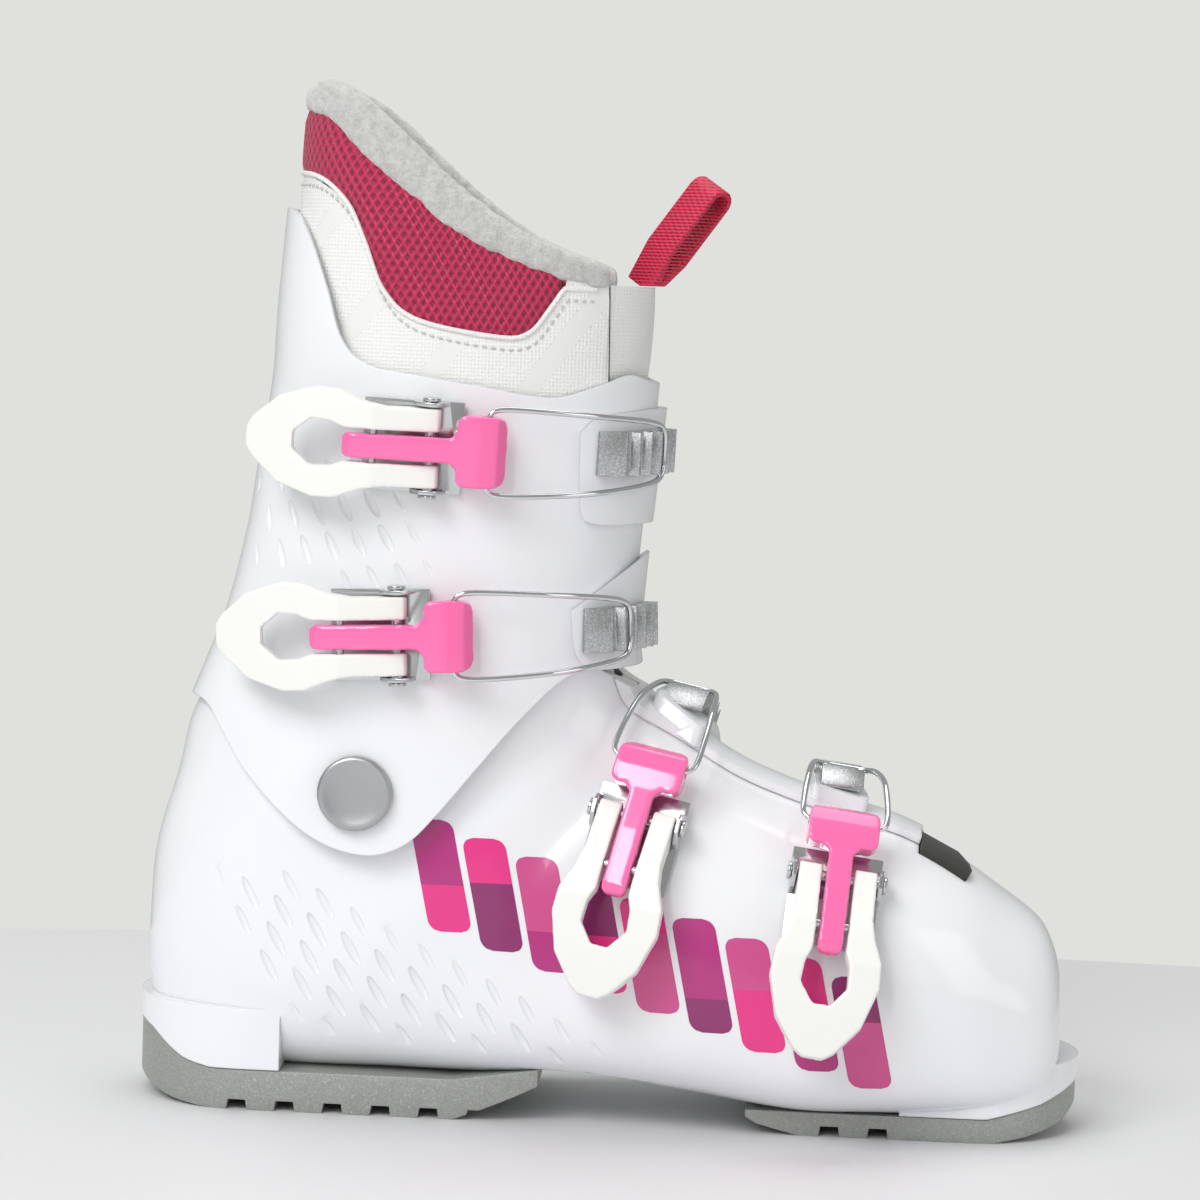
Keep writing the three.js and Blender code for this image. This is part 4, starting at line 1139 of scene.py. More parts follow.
def build_lower_shell():
    toe_lug = plan_prism(lug_outline(88, SOLE_END, 69), 0, 22.5)
    heel_lug = plan_prism(lug_outline(-96, -SOLE_END, 70), 0, 30.5)
    shell = joined(skin(SHELL_FORM, nose=1.2), toe_lug, heel_lug)
    kept(shell, over(SOLE_LINE))
    cut(shell, kept(inside(SHELL_FORM, SHELL_WALL), over(FLOOR_LINE)))
    slit = side_prism([(-20, 110), (88, 70), (88, 110), (20, 160), (-20, 160)], 2, 3.6)
    cut(shell, slit)
    joined(shell, instep_flap())
    for name in ("instep", "toe"):
        joined(shell, ladder_seat(name))
    pocket = layer(SHELL_FORM, -2.3, 6, side_prism(grown(PLUG_OUTLINE, 1.06), -19.3, -0.7))
    cut(shell, pocket)
    kept(shell, under(SHELL_RIM))
    cut(shell, cross_pin(5.3, -FAR, FAR))
    surface = surface_of(shell)
    length = bpy.context.scene.boot.heel_dash_length / MM
    for side in (-1, 1):
        cut(shell, dash_cutter(surface, HEEL_DASHES, side, (-2.0, -8.2), (10.2, -4.8), length))
    return finished(shell, "lower_shell_moulding", materials["white_shell"], "lower", "lower_shell",
                    slot="white_shell")


def grown(outline, factor):
    centre = np.mean(outline, axis=0)
    return [tuple(centre + (np.array(p) - centre) * factor) for p in outline]


# ---------------------------------------------------------------- cuff
CUFF_WALL = 3.0
CUFF_CLEARANCE = 0.7
CUFF_LOW = smooth_line([(-140, 121), (-124, 121), (-117, 114), (-110, 104), (-100, 93.5), (-90, 85.5),
                        (-80, 80.8), (-69, 79.5), (-59, 83.5), (-50, 93), (-39, 106.8), (-27.7, 120.5),
                        (-16, 132), (-5, 136.7), (20, 138)])
CUFF_HIGH = smooth_line([(20, 219), (8, 219.5), (0, 222), (-8, 219), (-22, 215), (-43, 217.7), (-60, 220),
                         (-75, 222.5), (-83, 229.5), (-88, 243.6), (-94, 258), (-100, 266.3), (-108, 267.5),
                         (-140, 267.5)])
TABS = (
    [*smooth_line([(-13, 205), (-12.4, 183), (-8.5, 178.3), (4, 178)], 6), (26, 178), (26, 212.5),
     *smooth_line([(6, 212), (-8, 209.5), (-13, 205)], 6)[:-1]],
    [*smooth_line([(-14, 153), (-12.3, 140), (-7, 135.5), (4, 135.5)], 6), (26, 135.5), (26, 169),
     *smooth_line([(6, 168.5), (-6, 159), (-14, 153)], 6)[:-1]],
)


def cuff_tab(outline):
    cover = layer(CUFF_FORM, GAP, GAP + FLAP_WALL, side_prism(outline, -100, 26))
    return joined(cover, layer(CUFF_FORM, -1, GAP + 1, side_prism(outline, 9.6, 26)))


def build_cuff():
    cuff = cut(skin(CUFF_FORM, rings=12), skin(CUFF_FORM, -CUFF_WALL, rings=12))
    kept(cuff, side_prism([*CUFF_LOW, *CUFF_HIGH]))
    cut(cuff, side_prism([(-20, 60), (40, 60), (40, 300), (-20, 300)], 8, 9.6))
    joined(cuff, *[cuff_tab(outline) for outline in TABS])
    clear = CUFF_CLEARANCE + 0.1
    room = joined(skin(SHELL_FORM, clear), instep_flap(clear), ladder_seat("instep", clear))
    kept(room, under(raised(SHELL_RIM, 1)))
    for degrees in (0.0, 1.7, 3.3, 5.0):
        swept = solid("swept", [], [])
        swept.data = room.data.copy()
        centre = Vector((PIVOT[0] * MM, 0, PIVOT[1] * MM))
        turn = Matrix.Rotation(math.radians(-degrees), 4, "Y")
        swept.data.transform(Matrix.Translation(centre) @ turn @ Matrix.Translation(-centre))
        cut(cuff, swept)
    bpy.data.objects.remove(room)
    cut(cuff, cross_pin(5.3, -FAR, FAR))
    surface = surface_of(cuff)
    length = bpy.context.scene.boot.cuff_dash_length / MM
    for side in (-1, 1):
        cut(cuff, dash_cutter(surface, CUFF_DASHES, side, (-3.5, -11.5), (8.0, 1.6), length))
    return finished(cuff, "cuff_moulding", materials["white_shell"], "cuff", "cuff", slot="white_shell")


# ---------------------------------------------------------------- printed graphic
INKS = (
    ("ink hot pink", "#E8338A"), ("ink magenta", "#B5317F"), ("ink rose", "#D0508F"),
    ("ink plum", "#8E2A6B"),
)
BAND_START = (-52.0, 57.0)  # the foot of the first band
BAND_STEP = (15.6, -4.9)
BAND_WIDTH = 12.6
BAND_HEIGHT = 33.0
BAND_SLANT = 0.22
BAND_CORNER = 3.4
# Where each band changes ink, as shares of its height, and the inks in turn.
BAND_PARTS = (
    ((0.0, 0.42, 1.0), (0, 1)), ((0.0, 0.6, 1.0), (3, 0)), ((0.0, 0.35, 1.0), (1, 2)),
    ((0.0, 0.5, 1.0), (0, 3)), ((0.0, 0.7, 1.0), (2, 0)), ((0.0, 0.3, 1.0), (3, 1)),
    ((0.0, 0.55, 1.0), (0, 2)), ((0.0, 0.4, 1.0), (1, 0)), ((0.0, 0.6, 1.0), (2, 3)),
)


def band_outline(number, low, high):
    """The part of a slanted, round-cornered band between two shares of its height."""
    foot_x = BAND_START[0] + number * BAND_STEP[0]
    foot_z = BAND_START[1] + number * BAND_STEP[1]
    levels = np.unique(np.concatenate([
        np.linspace(0, BAND_CORNER, 7), np.linspace(BAND_HEIGHT - BAND_CORNER, BAND_HEIGHT, 7),
        [low * BAND_HEIGHT, high * BAND_HEIGHT],
    ]))
    levels = [z for z in levels if low * BAND_HEIGHT - 1e-6 <= z <= high * BAND_HEIGHT + 1e-6]
    def inset(z):
        deep = max(BAND_CORNER - z, z - (BAND_HEIGHT - BAND_CORNER), 0)
        return BAND_CORNER - math.sqrt(max(BAND_CORNER**2 - deep**2, 0))
    left = [(foot_x + inset(z) - z * BAND_SLANT, foot_z + z) for z in levels]
    right = [(foot_x + BAND_WIDTH - inset(z) - z * BAND_SLANT, foot_z + z) for z in levels]
    return right + left[::-1]


def printed(name, outline, material, surface):
    """A film of ink on the outer side, over a side-view outline."""
    mesh = bmesh.new()
    mesh.faces.new([mesh.verts.new((x * MM, 0, z * MM)) for x, z in outline])
    lows = np.min(outline, axis=0)
    highs = np.max(outline, axis=0)
    for axis, normal in ((0, (1, 0, 0)), (1, (0, 0, 1))):
        for level in np.arange(lows[axis] + 1.5, highs[axis], 1.5):
            place = (level * MM, 0, 0) if axis == 0 else (0, 0, level * MM)
            geometry = mesh.verts[:] + mesh.edges[:] + mesh.faces[:]
            bmesh.ops.bisect_plane(mesh, geom=geometry, plane_co=place, plane_no=normal)
    for vertex in mesh.verts:
        point, normal = seen_from_side(surface, vertex.co.x / MM, vertex.co.z / MM)
        vertex.co = point + normal * (0.06 * MM)
    bmesh.ops.recalc_face_normals(mesh, faces=mesh.faces)
    if sum(face.normal.y for face in mesh.faces) > 0:
        bmesh.ops.reverse_faces(mesh, faces=mesh.faces)
    piece = solid(name, [], [])
    mesh.to_mesh(piece.data)
    mesh.free()
    return finished(piece, name, material, "lower", slot="white_shell")


def build_graphic():
    surface = surface_of(bpy.data.objects["lower_shell_moulding"])
    inks = [pad_ink(name, colour) for name, colour in INKS]
    for number, (shares, colours) in enumerate(BAND_PARTS):
        for part, colour in enumerate(colours):
            outline = band_outline(number, shares[part], shares[part + 1])
            printed(f"printed_band_{number}_{part}", outline, inks[colour], surface)


# ---------------------------------------------------------------- soles and hard parts
TREAD_DEPTH = 3.0
TREAD_NOTCH = 7.2
TREAD_PITCH = 14.3


def notch(start):
    return side_prism([(start, -3), (start + TREAD_NOTCH, -3), (start + TREAD_NOTCH - 1, TREAD_DEPTH),
                       (start + 1, TREAD_DEPTH)])


def sole_pad(side, inner, end, width, first, count):
    pad = plan_prism(lug_outline(inner, end, width), 0, 32)
    kept(pad, side_prism(side), under(raised(SOLE_LINE, -GAP)))
    cut(pad, *[notch(first + k * TREAD_PITCH) for k in range(count)])
    return rounded_edges(pad, 0.5)


def rounded_edges(piece, width, segments=3, angle=35.0):
    """Melts flat facets together and rounds the corners between them."""
    mesh = bmesh.new()
    mesh.from_mesh(piece.data)
    bmesh.ops.remove_doubles(mesh, verts=mesh.verts, dist=0.02 * MM)
    bmesh.ops.dissolve_limit(mesh, angle_limit=math.radians(1.5), verts=mesh.verts, edges=mesh.edges)
    mesh.to_mesh(piece.data)
    mesh.free()
    step = piece.modifiers.new("rounded", "BEVEL")
    step.width = width * MM
    step.segments = segments
    step.limit_method = "ANGLE"
    step.angle_limit = math.radians(angle)
    step.use_clamp_overlap = True
    return bake(piece)


def copied(node):
    """A merged copy of a CAD node's mesh, for its edges to be rounded."""
    piece = solid(node, [], [])
    piece.data = frame["nodes"][node].data.copy()
    return piece


def moulded(piece, cell, rounds):
    """Rounds a moulding all over, as its draughted tool would leave it."""
    step = piece.modifiers.new("even", "REMESH")
    step.mode = "VOXEL"
    step.voxel_size = cell * MM
    bake(piece)
    step = piece.modifiers.new("round", "SMOOTH")
    step.iterations = rounds
    step.factor = 0.5
    return bake(piece)


def moulded_copy(node, name, slot, cell, rounds):
    body = next(b for b, nodes in frame["record"]["behaviour"]["bodies"].items() if node in nodes)
    piece = moulded(copied(node), cell, rounds)
    return finished(piece, name, materials[slot], body, node, crease=70, slot=slot)


def hard_copy(node, name, slot, width, segments=3, angle=35.0, crease=40.0):
    body = next(b for b, nodes in frame["record"]["behaviour"]["bodies"].items() if node in nodes)
    piece = rounded_edges(copied(node), width, segments, angle)
    return finished(piece, name, materials[slot], body, node, crease=crease, slot=slot)


def build_soles():
    heel_side = [*smooth_line([(-142, 6.4), (-136, 3.4), (-128, 1.2), (-118, 0)], 5), (-44, 0),
                 *smooth_line([(-36, 3), (-27, 7), (-19, 11)], 4), (-19, 32), (-142, 32)]
    toe_side = [(42.6, 32), (42.6, 5), *smooth_line([(46, 3), (52, 1.5), (58, 0)], 4), (116, 0),
                *smooth_line([(126, 1.6), (136, 4.5), (142.2, 9)], 4), (142.2, 32)]
    heel = sole_pad(heel_side, -19, 0.5 - SOLE_END, 69, -112, 6)
    toe = sole_pad(toe_side, 42.6, SOLE_END - 0.5, 68, 64, 2)
    finished(heel, "heel_sole_pad", materials["grey_sole"], "lower", "heel_sole", slot="grey_sole")
    finished(toe, "toe_sole_pad", materials["grey_sole"], "lower", "toe_sole", slot="grey_sole")
    hard_copy("toe_plug", "toe_plug_insert", "charcoal_insert", 0.5)


def build_pivots():
    """Each cuff rivet is a dished button turned round the hinge."""
    profile = [
        (0, 1.6), (5.5, 1.75), (8.6, 2.05), (9.7, 2.4), (10.5, 2.3), (10.95, 1.7), (11, 0), (5, 0),
        (5, -6.5), (0, -6.5),
    ]
    steps = 72
    for side, name in ((-1, "lateral"), (1, "medial")):
        seat = CUFF_WAIST + 0.5 + GAP
        vertices = [
            (PIVOT[0] + r * math.cos(2 * math.pi * k / steps), MIDDLE + side * (seat + h),
             PIVOT[1] + r * math.sin(2 * math.pi * k / steps))
            for r, h in profile[1:-1]
            for k in range(steps)
        ]
        tips = [(PIVOT[0], MIDDLE + side * (seat + profile[0][1]), PIVOT[1]),
                (PIVOT[0], MIDDLE + side * (seat + profile[-1][1]), PIVOT[1])]
        faces = []
        rows = len(profile) - 2
        for r in range(rows - 1):
            for k in range(steps):
                a = r * steps + k
                b = r * steps + (k + 1) % steps
                faces.append((a, b, b + steps, a + steps))
        top = len(vertices)
        faces += [(top, (k + 1) % steps, k) for k in range(steps)]
        last = (rows - 1) * steps
        faces += [(top + 1, last + k, last + (k + 1) % steps) for k in range(steps)]
        button = solid("button", [*vertices, *tips], faces)
        mesh = bmesh.new()
        mesh.from_mesh(button.data)
        bmesh.ops.recalc_face_normals(mesh, faces=mesh.faces)
        mesh.to_mesh(button.data)
        mesh.free()
        node = f"cuff_pivot_{name}"
        finished(
            button,
            f"{node}_button",
            materials["satin_rivet"],
            "lower",
            node,
            crease=50,
            slot="satin_rivet",
        )


# ---------------------------------------------------------------- buckles
def wire_copy(node, body, name):
    """The bail's wire, with its faceted section rounded."""
    piece = copied(node)
    mesh = bmesh.new()
    mesh.from_mesh(piece.data)
    bmesh.ops.remove_doubles(mesh, verts=mesh.verts, dist=0.01 * MM)
    bmesh.ops.join_triangles(mesh, faces=mesh.faces, angle_face_threshold=1.2, angle_shape_threshold=1.2)
    mesh.to_mesh(piece.data)
    mesh.free()
    step = piece.modifiers.new("round", "SUBSURF")
    step.levels = 2
    step.render_levels = 2
    bake(piece)
    piece.data.shade_smooth()
    normals = np.array([v.normal for v in piece.data.vertices])
    for vertex, normal in zip(piece.data.vertices, normals):
        vertex.co += Vector(normal) * (0.1 * MM)
    return finished(piece, name, materials["wire_chrome"], body, node, crease=80, slot="wire_chrome")


def build_buckle(name):
    node = f"{name}_buckle_"
    hard_copy(node + "base", node + "channel", "buckle_steel", 0.25, 2)
    moulded_copy(node + "lever", node + "handle", "white_lever", 0.45, 7)
    moulded_copy(node + "yoke", node + "tee", "pink_plastic", 0.4, 22)
    hard_copy(node + "lever_pin", node + "rivet", "buckle_steel", 0.4, 3, angle=50)
    hard_copy(node + "yoke_pin", node + "axle", "buckle_steel", 0.15, 1, angle=50)
    hard_copy(node + "ladder", node + "teeth", "cast_silver", 0.22, 2)
    wire_copy(node + "bail", f"{name}_bail", node + "wire")


# ---------------------------------------------------------------- liner
LINER_WALL = 7.0
LINER_SPLIT = 213.0
TONGUE_TOP = 248.0
COLLAR_TOP = [(-104, 298), (-99, 303), (-92.6, 305.5), (-85, 303.6), (-72.7, 295.1), (-57.1, 280.8),
              (-41.7, 268.8), (-29.4, 261.5), (-20.3, 258), (-11.2, 255), (-3.6, 252.5), (10, 250)]
FLEECE_LOW = [(10, 244.5), (-2.7, 245.8), (-19, 248.1), (-26.8, 250.7), (-38.6, 254.6), (-53.4, 262.7),
              (-68.4, 273.8), (-80.4, 283.5), (-93.3, 294.6), (-120, 296)]
PANEL_EDGE = [(-120, 277.5), (-96.2, 277.5), (-84.3, 269.9), (-78.1, 258.5), (-71.8, 244.2), (-61.3, 235.9),
              (-37.7, 231.8), (-29, 233.3), (-23.5, 240.2), (-19.5, 246.5)]


def tongue_outline(back):
    return [(76, 130), (72 + back, 84 - back), (40, 88 - back), (18, 97 - back), (-2 - back, 114 - back),
            (-12 - back, 140), (-9 - back, 180), (-6 - back, 214), (-7 - back, 262), (40, 262)]


def cloth_map(piece):
    """Lays a piece's own coordinates round the leg and up it, in millimetres."""
    mesh = piece.data
    layer_data = mesh.uv_layers.new(name="cloth")
    co = np.array([v.co for v in mesh.vertices]) / MM
    angle = np.arctan2(co[:, 1] - MIDDLE, co[:, 0] + 48.0)
    for polygon in mesh.polygons:
        turns = [angle[mesh.loops[i].vertex_index] for i in polygon.loop_indices]
        wraps = max(turns) - min(turns) > math.pi
        for i, turn in zip(polygon.loop_indices, turns):
            full = turn + 2 * math.pi if wraps and turn < 0 else turn
            layer_data.data[i].uv = (full * 47.0, co[mesh.loops[i].vertex_index][2])


def shaft_ring(grow=0.0, wall=LINER_WALL, around=200):
    outer = skin(LINER_FORM, grow, rings=12, around=around, start=SHAFT_START)
    return cut(outer, skin(LINER_FORM, -wall, rings=12, around=around, start=SHAFT_START))


def pinch(piece, outline, depth, reach):
    """Draws a padded panel in at its sewn edge."""
    normals = [v.normal.copy() for v in piece.data.vertices]
    for vertex, normal in zip(piece.data.vertices, normals):
        away = edge_distance(vertex.co.x / MM, vertex.co.z / MM, outline)
        share = min(away / reach, 1.0)
        vertex.co -= normal * (depth * MM * (1 - share * (2 - share)))


def soft_panel(name, outline, material, slot, node, depth, grow=0.0, wall=LINER_WALL):
    panel = kept(shaft_ring(grow, wall), side_prism(outline))
    cut(panel, side_prism(tongue_outline(0)))
    pinch(panel, outline, depth, 6.0)
    cloth_map(panel)
    finished(panel, name, material, "cuff", node, crease=50, slot=slot)
    return panel


def plump(piece, voxel, pressure, cap):
    """Swells a soft solid with a short cloth simulation, each point moving no further than cap."""
    step = piece.modifiers.new("even", "REMESH")
    step.mode = "VOXEL"
    step.voxel_size = voxel * MM
    bake(piece)
    step = piece.modifiers.new("ease", "SMOOTH")
    step.iterations = 3
    step.factor = 0.5
    bake(piece)
    start = np.array([v.co for v in piece.data.vertices])
    cloth = piece.modifiers.new("swell", "CLOTH")
    cloth.settings.use_pressure = True
    cloth.settings.uniform_pressure_force = pressure
    cloth.settings.effector_weights.gravity = 0.0
    cloth.settings.quality = 6
    cloth.collision_settings.use_collision = False
    cloth.point_cache.frame_start = 1
    cloth.point_cache.frame_end = 20
    scene = bpy.context.scene
    for number in range(1, 21):
        scene.frame_set(number)
    bake(piece)
    scene.frame_set(1)
    moved = np.array([v.co for v in piece.data.vertices]) - start
    length = np.linalg.norm(moved, axis=1, keepdims=True)
    moved *= np.minimum(1.0, cap * MM / np.maximum(length, 1e-9))
    piece.data.vertices.foreach_set("co", (start + moved).astype(np.float32).ravel())
    step = piece.modifiers.new("finer", "SUBSURF")
    step.levels = 1
    step.render_levels = 1
    return bake(piece)


def shake(piece, amount, size):
    """Stands a pile's clumps out unevenly."""
    texture = bpy.data.textures.new("pile", "CLOUDS")
    texture.noise_scale = size * MM
    step = piece.modifiers.new("clumps", "DISPLACE")
    step.texture = texture
    step.texture_coords = "LOCAL"
    step.mid_level = 0.5
    step.strength = amount * MM
    return bake(piece)


def build_collar():
    band = [*smooth_line(COLLAR_TOP, 4), *smooth_line(FLEECE_LOW, 4)]
    collar = kept(shaft_ring(1.2, LINER_WALL + 1.0, 120), side_prism(band))
    cut(collar, side_prism(tongue_outline(0)))
    plump(collar, 2.4, 3.0, 1.6)
    shake(collar, 0.6, 2.6)
    cloth_map(collar)
    finished(collar, "fleece_roll", materials["grey_fleece"], "cuff", "fleece_collar", crease=80,
             slot="grey_fleece")


def crossing(form, line, grow, angle):
    """Where a side-view line z(x) crosses a form at one angle, as a point in millimetres."""
    xs, zs = zip(*sorted(line))
    low, high = float(SHAFT_START), float(len(form) - 1)
    for _ in range(30):
        number = (low + high) / 2
        point = ring(form, number, grow, np.array([angle]))[0]
        if point[2] < np.interp(point[0], xs, zs):
            low = number
        else:
            high = number
    return point


def traced(form, line, grow, start, end, steps=240):
    """A side-view line drawn round a form between two angles, with normals, in metres."""
    angles = np.linspace(math.radians(start), math.radians(end), steps)
    points = [Vector(crossing(form, line, grow, a)) * MM for a in angles]
    normals = [(p - Vector((-0.05, MIDDLE * MM, p.z))).normalized() for p in points]
    return points, normals


def build_panels():
    quarter = [(-200, LINER_SPLIT), (40, LINER_SPLIT), (40, 246.5), (10, 247), (-2.7, 248), (-19, 250.2),
               *reversed(smooth_line(PANEL_EDGE[1:], 5)), (-200, 277.5)]
    soft_panel("woven_quarter", quarter, materials["white_woven"], "white_woven", "liner_quarter", 0.5)
    mesh = [*raised(smooth_line(PANEL_EDGE[1:], 5), -1.2), *raised(FLEECE_LOW[2:], 3.0), (-120, 276.3)]
    soft_panel("mesh_panel_padded", mesh, materials["raspberry_mesh"], "raspberry_mesh", "mesh_panel", 1.4,
               grow=0.5)
    points, normals = traced(LINER_FORM, smooth_line(PANEL_EDGE), -0.1, -47, -313)
    piping = tube("piping", points, 0.75)
    cloth_map(piping)
    finished(piping, "panel_piping", materials["piping"], "cuff", crease=80, slot="white_woven")
    lowered = [(x + 1.0, z - 3.4) for x, z in smooth_line(PANEL_EDGE)]
    points, normals = traced(LINER_FORM, lowered, 0.12, -47, -313)
    pitch = bpy.context.scene.boot.stitch_pitch / MM
    row = stitch_row("stitches", points, normals, pitch, (1.8, 0.75, 0.7), materials["thread"])
    finished(row, "panel_stitches", materials["thread"], "cuff", crease=80, slot="white_woven")


def build_liner():
    """The boot-shaped liner and its tongue bend from the lower shell to the cuff."""
    for name, node, tongue in (("liner_bootie", "liner", False), ("tongue_padded", "tongue", True)):
        liner = cut(skin(LINER_FORM, -1.6, rings=6), skin(LINER_FORM, -LINER_WALL, rings=6))
        shape = side_prism(tongue_outline(-GAP if tongue else 0))
        if tongue:
            kept(liner, shape, under([(-FAR, TONGUE_TOP), (FAR, TONGUE_TOP)]))
        else:
            cut(liner, shape)
            kept(liner, under([(-FAR, LINER_SPLIT - GAP), (FAR, LINER_SPLIT - GAP)]))
        kept(liner, over(raised(FLOOR_LINE, 6.8)))
        cloth_map(liner)
        finished(liner, name, materials["white_woven" if tongue else "lining"], None, node, crease=50,
                 slot="white_woven")
        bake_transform(liner)
    for node in ("insole", "boot_board"):
        frame["nodes"][node].data.materials.clear()
        frame["nodes"][node].data.materials.append(materials["dark_foam"])


def build_pull_loop():
    loop = rounded_edges(copied("pull_loop"), 0.3, 2, 50)
    mesh = loop.data
    data = mesh.uv_layers.new(name="cloth")
    for polygon in mesh.polygons:
        for i in polygon.loop_indices:
            co = mesh.vertices[mesh.loops[i].vertex_index].co / MM
            data.data[i].uv = (co.y - co.x * 0.5, co.z)
    finished(
        loop,
        "webbing_loop",
        materials["red_webbing"],
        "cuff",
        "pull_loop",
        crease=50,
        slot="red_webbing",
    )


# ---------------------------------------------------------------- stage
CAMERA_YAW = math.radians(2.5)
CAMERA_PITCH = math.radians(4.531)
CAMERA_ROLL = math.radians(2.1425)
CAMERA_PLACE = Vector((0.04239, -1.138915 + MIDDLE * MM, 0.243768))
LENS = 113.65
TABLE_CENTRE = (100.0, -1190.0)
TABLE_RADIUS = 1500.0
TABLE_THICKNESS = 30.0
WALL_SEEN = 0.97
WALL_LIGHT = 0.5


def build_camera():
    data = bpy.data.cameras.new("camera")
    data.lens = LENS
    data.sensor_width = 36.0
    data.clip_start = 0.05
    camera = bpy.data.objects.new("camera", data)
    bpy.context.scene.collection.objects.link(camera)
    look = Vector((
        -math.sin(CAMERA_YAW) * math.cos(CAMERA_PITCH),
        math.cos(CAMERA_YAW) * math.cos(CAMERA_PITCH),
        -math.sin(CAMERA_PITCH),
    ))
    level = look.cross(Vector((0, 0, 1))).normalized()
    upright = level.cross(look)
    right = level * math.cos(CAMERA_ROLL) + upright * math.sin(CAMERA_ROLL)
    up = upright * math.cos(CAMERA_ROLL) - level * math.sin(CAMERA_ROLL)
    turn = Matrix((right, up, -look)).transposed().to_4x4()
    camera.matrix_world = Matrix.Translation(CAMERA_PLACE) @ turn
    bpy.context.scene.camera = camera


def plain(name, colour, roughness):
    return new_material(name, colour, roughness)[0]


def soft_light(name, place, target, size, power, colour=(1, 1, 1)):
    data = bpy.data.lights.new(name, "AREA")
    data.shape = "RECTANGLE"
    data.size, data.size_y = size
    data.energy = power
    data.color = colour
    light = bpy.data.objects.new(name, data)
    bpy.context.scene.collection.objects.link(light)
    aim = (Vector(target) - Vector(place)).to_track_quat("-Z", "Y")
    light.matrix_world = Matrix.Translation(place) @ aim.to_matrix().to_4x4()


def build_table():
    """A round white table whose far edge stands a little behind the boot."""
    steps = 256
    turn = [2 * math.pi * k / steps for k in range(steps)]
    rims = [
        (TABLE_RADIUS - 4, 0), (TABLE_RADIUS - 1.2, -1.2), (TABLE_RADIUS, -4),
        (TABLE_RADIUS, -TABLE_THICKNESS),
    ]
    vertices = [
        (TABLE_CENTRE[0] + r * math.cos(t), TABLE_CENTRE[1] + r * math.sin(t), z)
        for r, z in rims
        for t in turn
    ]
    faces = [tuple(range(steps)), tuple(range(len(vertices) - 1, len(vertices) - steps - 1, -1))]
    for row in range(len(rims) - 1):
        for k in range(steps):
            a = row * steps + k
            b = row * steps + (k + 1) % steps
            faces.append((a, a + steps, b + steps, b))
    table = solid("table", vertices, faces)
    table.data.materials.append(plain("white table laminate", "#EAEAEC", 0.55))
    table.data.shade_smooth()
    table.data.set_sharp_from_angle(angle=math.radians(40))


def build_world():
    """A pale studio wall, which lights the boot less than it shows."""
    world = bpy.data.worlds.new("studio")
    world.use_nodes = True
    tree = world.node_tree
    wall = tree.nodes["Background"]
    wall.inputs["Color"].default_value = linear("#E3E4E0")
    seen = add_node(tree, "ShaderNodeLightPath").outputs["Is Camera Ray"]
    strength = add_node(
        tree,
        "ShaderNodeMath",
        {"operation": "MULTIPLY_ADD"},
        {0: seen, 1: WALL_SEEN - WALL_LIGHT, 2: WALL_LIGHT},
    )
    tree.links.new(strength.outputs[0], wall.inputs["Strength"])
    bpy.context.scene.world = world


def build_stage():
    build_table()
    soft_light("key", (-0.9, -1.3, 1.5), (0, 0, 0.12), (0.9, 0.9), 20)
    soft_light("fill", (1.5, -0.9, 0.7), (0, 0, 0.12), (0.8, 1.2), 3.5)
    soft_light("strip", (-0.3, -1.25, 0.75), (0, 0, 0.14), (0.1, 0.8), 3.0)
    soft_light("top", (-0.1, 0.35, 1.7), (0, 0, 0), (1.4, 1.0), 11)
    build_world()
    bpy.context.scene.view_settings.view_transform = "Standard"
    build_camera()


# ---------------------------------------------------------------- add-on
class BootSettings(bpy.types.PropertyGroup):
    """The colours and sizes that a user would change."""

    shell_colour: bpy.props.FloatVectorProperty(
        name="Shell",
        description="Colour of the shell and cuff",
        subtype="COLOR",
        default=linear("#F1F2F6")[:3],
    )
    lever_colour: bpy.props.FloatVectorProperty(
        name="Levers",
        description="Colour of the buckle levers",
        subtype="COLOR",
        default=linear("#F3F3EF")[:3],
    )
    yoke_colour: bpy.props.FloatVectorProperty(
        name="Yokes",
        description="Colour of the buckle yokes",
        subtype="COLOR",
        default=linear("#FF6FB0")[:3],
    )
    heel_dash_length: bpy.props.FloatProperty(
        name="Heel dashes", description="Length of a dash by the heel", unit="LENGTH", default=11.5 * MM
    )
    cuff_dash_length: bpy.props.FloatProperty(
        name="Cuff dashes", description="Length of a dash on the cuff", unit="LENGTH", default=9.0 * MM
    )
    stitch_pitch: bpy.props.FloatProperty(
        name="Stitch pitch", description="From one stitch to the next", unit="LENGTH", default=2.6 * MM
    )


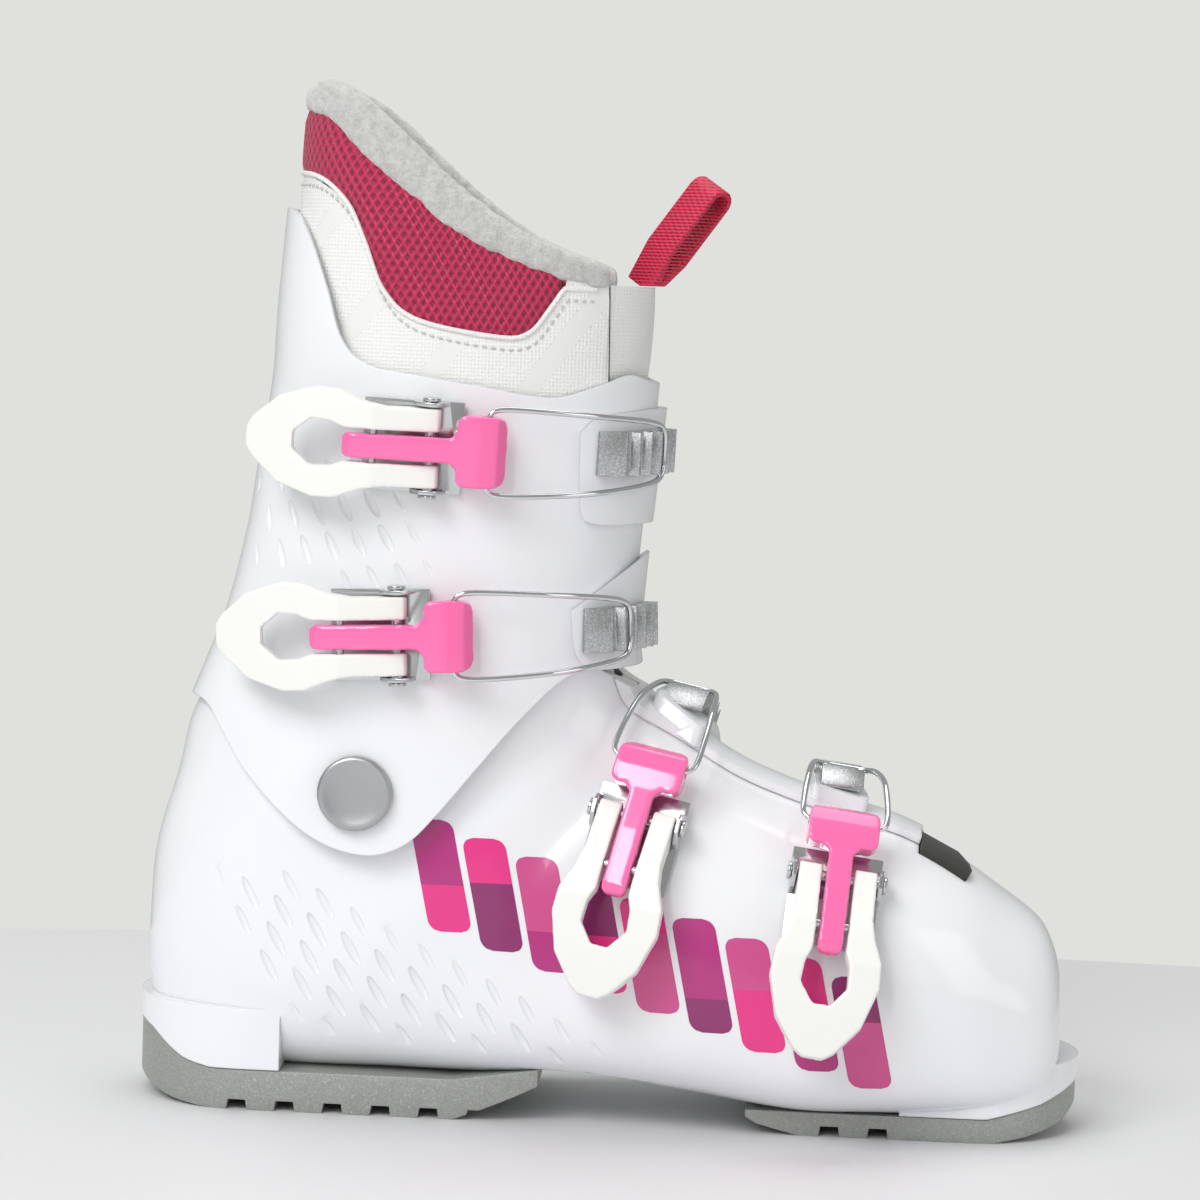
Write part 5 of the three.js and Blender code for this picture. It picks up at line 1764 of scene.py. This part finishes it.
def make_operator(idname, label, text, build):
    """One operator that builds one piece or group of like pieces."""

    def execute(self, context):
        build()
        return {"FINISHED"}

    name = "BOOT_OT_" + idname
    fields = {"bl_idname": "boot." + idname, "bl_label": label, "__doc__": text, "execute": execute}
    return type(name, (bpy.types.Operator,), fields)


def build_buckles():
    for name in BUCKLES:
        build_buckle(name)


def build_looks():
    make_materials(bpy.context.scene.boot)


OPERATORS = (
    make_operator("looks", "Materials", "Makes the materials", build_looks),
    make_operator("shell", "Lower shell", "Moulds the lower shell", build_lower_shell),
    make_operator("cuff", "Cuff", "Moulds the hinged cuff", build_cuff),
    make_operator("graphic", "Printed bands", "Prints the slanted bands", build_graphic),
    make_operator("soles", "Sole pads", "Makes the sole pads and the toe plug", build_soles),
    make_operator("pivots", "Cuff rivets", "Makes the two cuff rivets", build_pivots),
    make_operator("buckles", "Buckles", "Makes the four lever buckles", build_buckles),
    make_operator("liner", "Liner", "Makes the liner and its tongue", build_liner),
    make_operator("panels", "Liner panels", "Makes the woven and mesh panels", build_panels),
    make_operator("collar", "Fleece collar", "Makes the fleece collar", build_collar),
    make_operator("loop", "Pull loop", "Makes the webbing pull loop", build_pull_loop),
    make_operator("stage", "Stage", "Sets the floor, the lights and the camera", build_stage),
)


class BootPanel(bpy.types.Panel):
    """The boot's settings and steps."""

    bl_idname = "BOOT_PT_panel"
    bl_label = "Ski boot"
    bl_space_type = "VIEW_3D"
    bl_region_type = "UI"
    bl_category = "Ski boot"

    def draw(self, context):
        for field in BootSettings.__annotations__:
            self.layout.prop(context.scene.boot, field)
        for operator in OPERATORS:
            self.layout.operator(operator.bl_idname)


CLASSES = (BootSettings, *OPERATORS, BootPanel)


def register():
    for item in CLASSES:
        bpy.utils.register_class(item)
    bpy.types.Scene.boot = bpy.props.PointerProperty(type=BootSettings)


def unregister():
    del bpy.types.Scene.boot
    for item in reversed(CLASSES):
        bpy.utils.unregister_class(item)


def main():
    register()
    for operator in OPERATORS:
        getattr(bpy.ops.boot, operator.bl_idname.split(".")[1])()


if __name__ == "__main__":
    main()
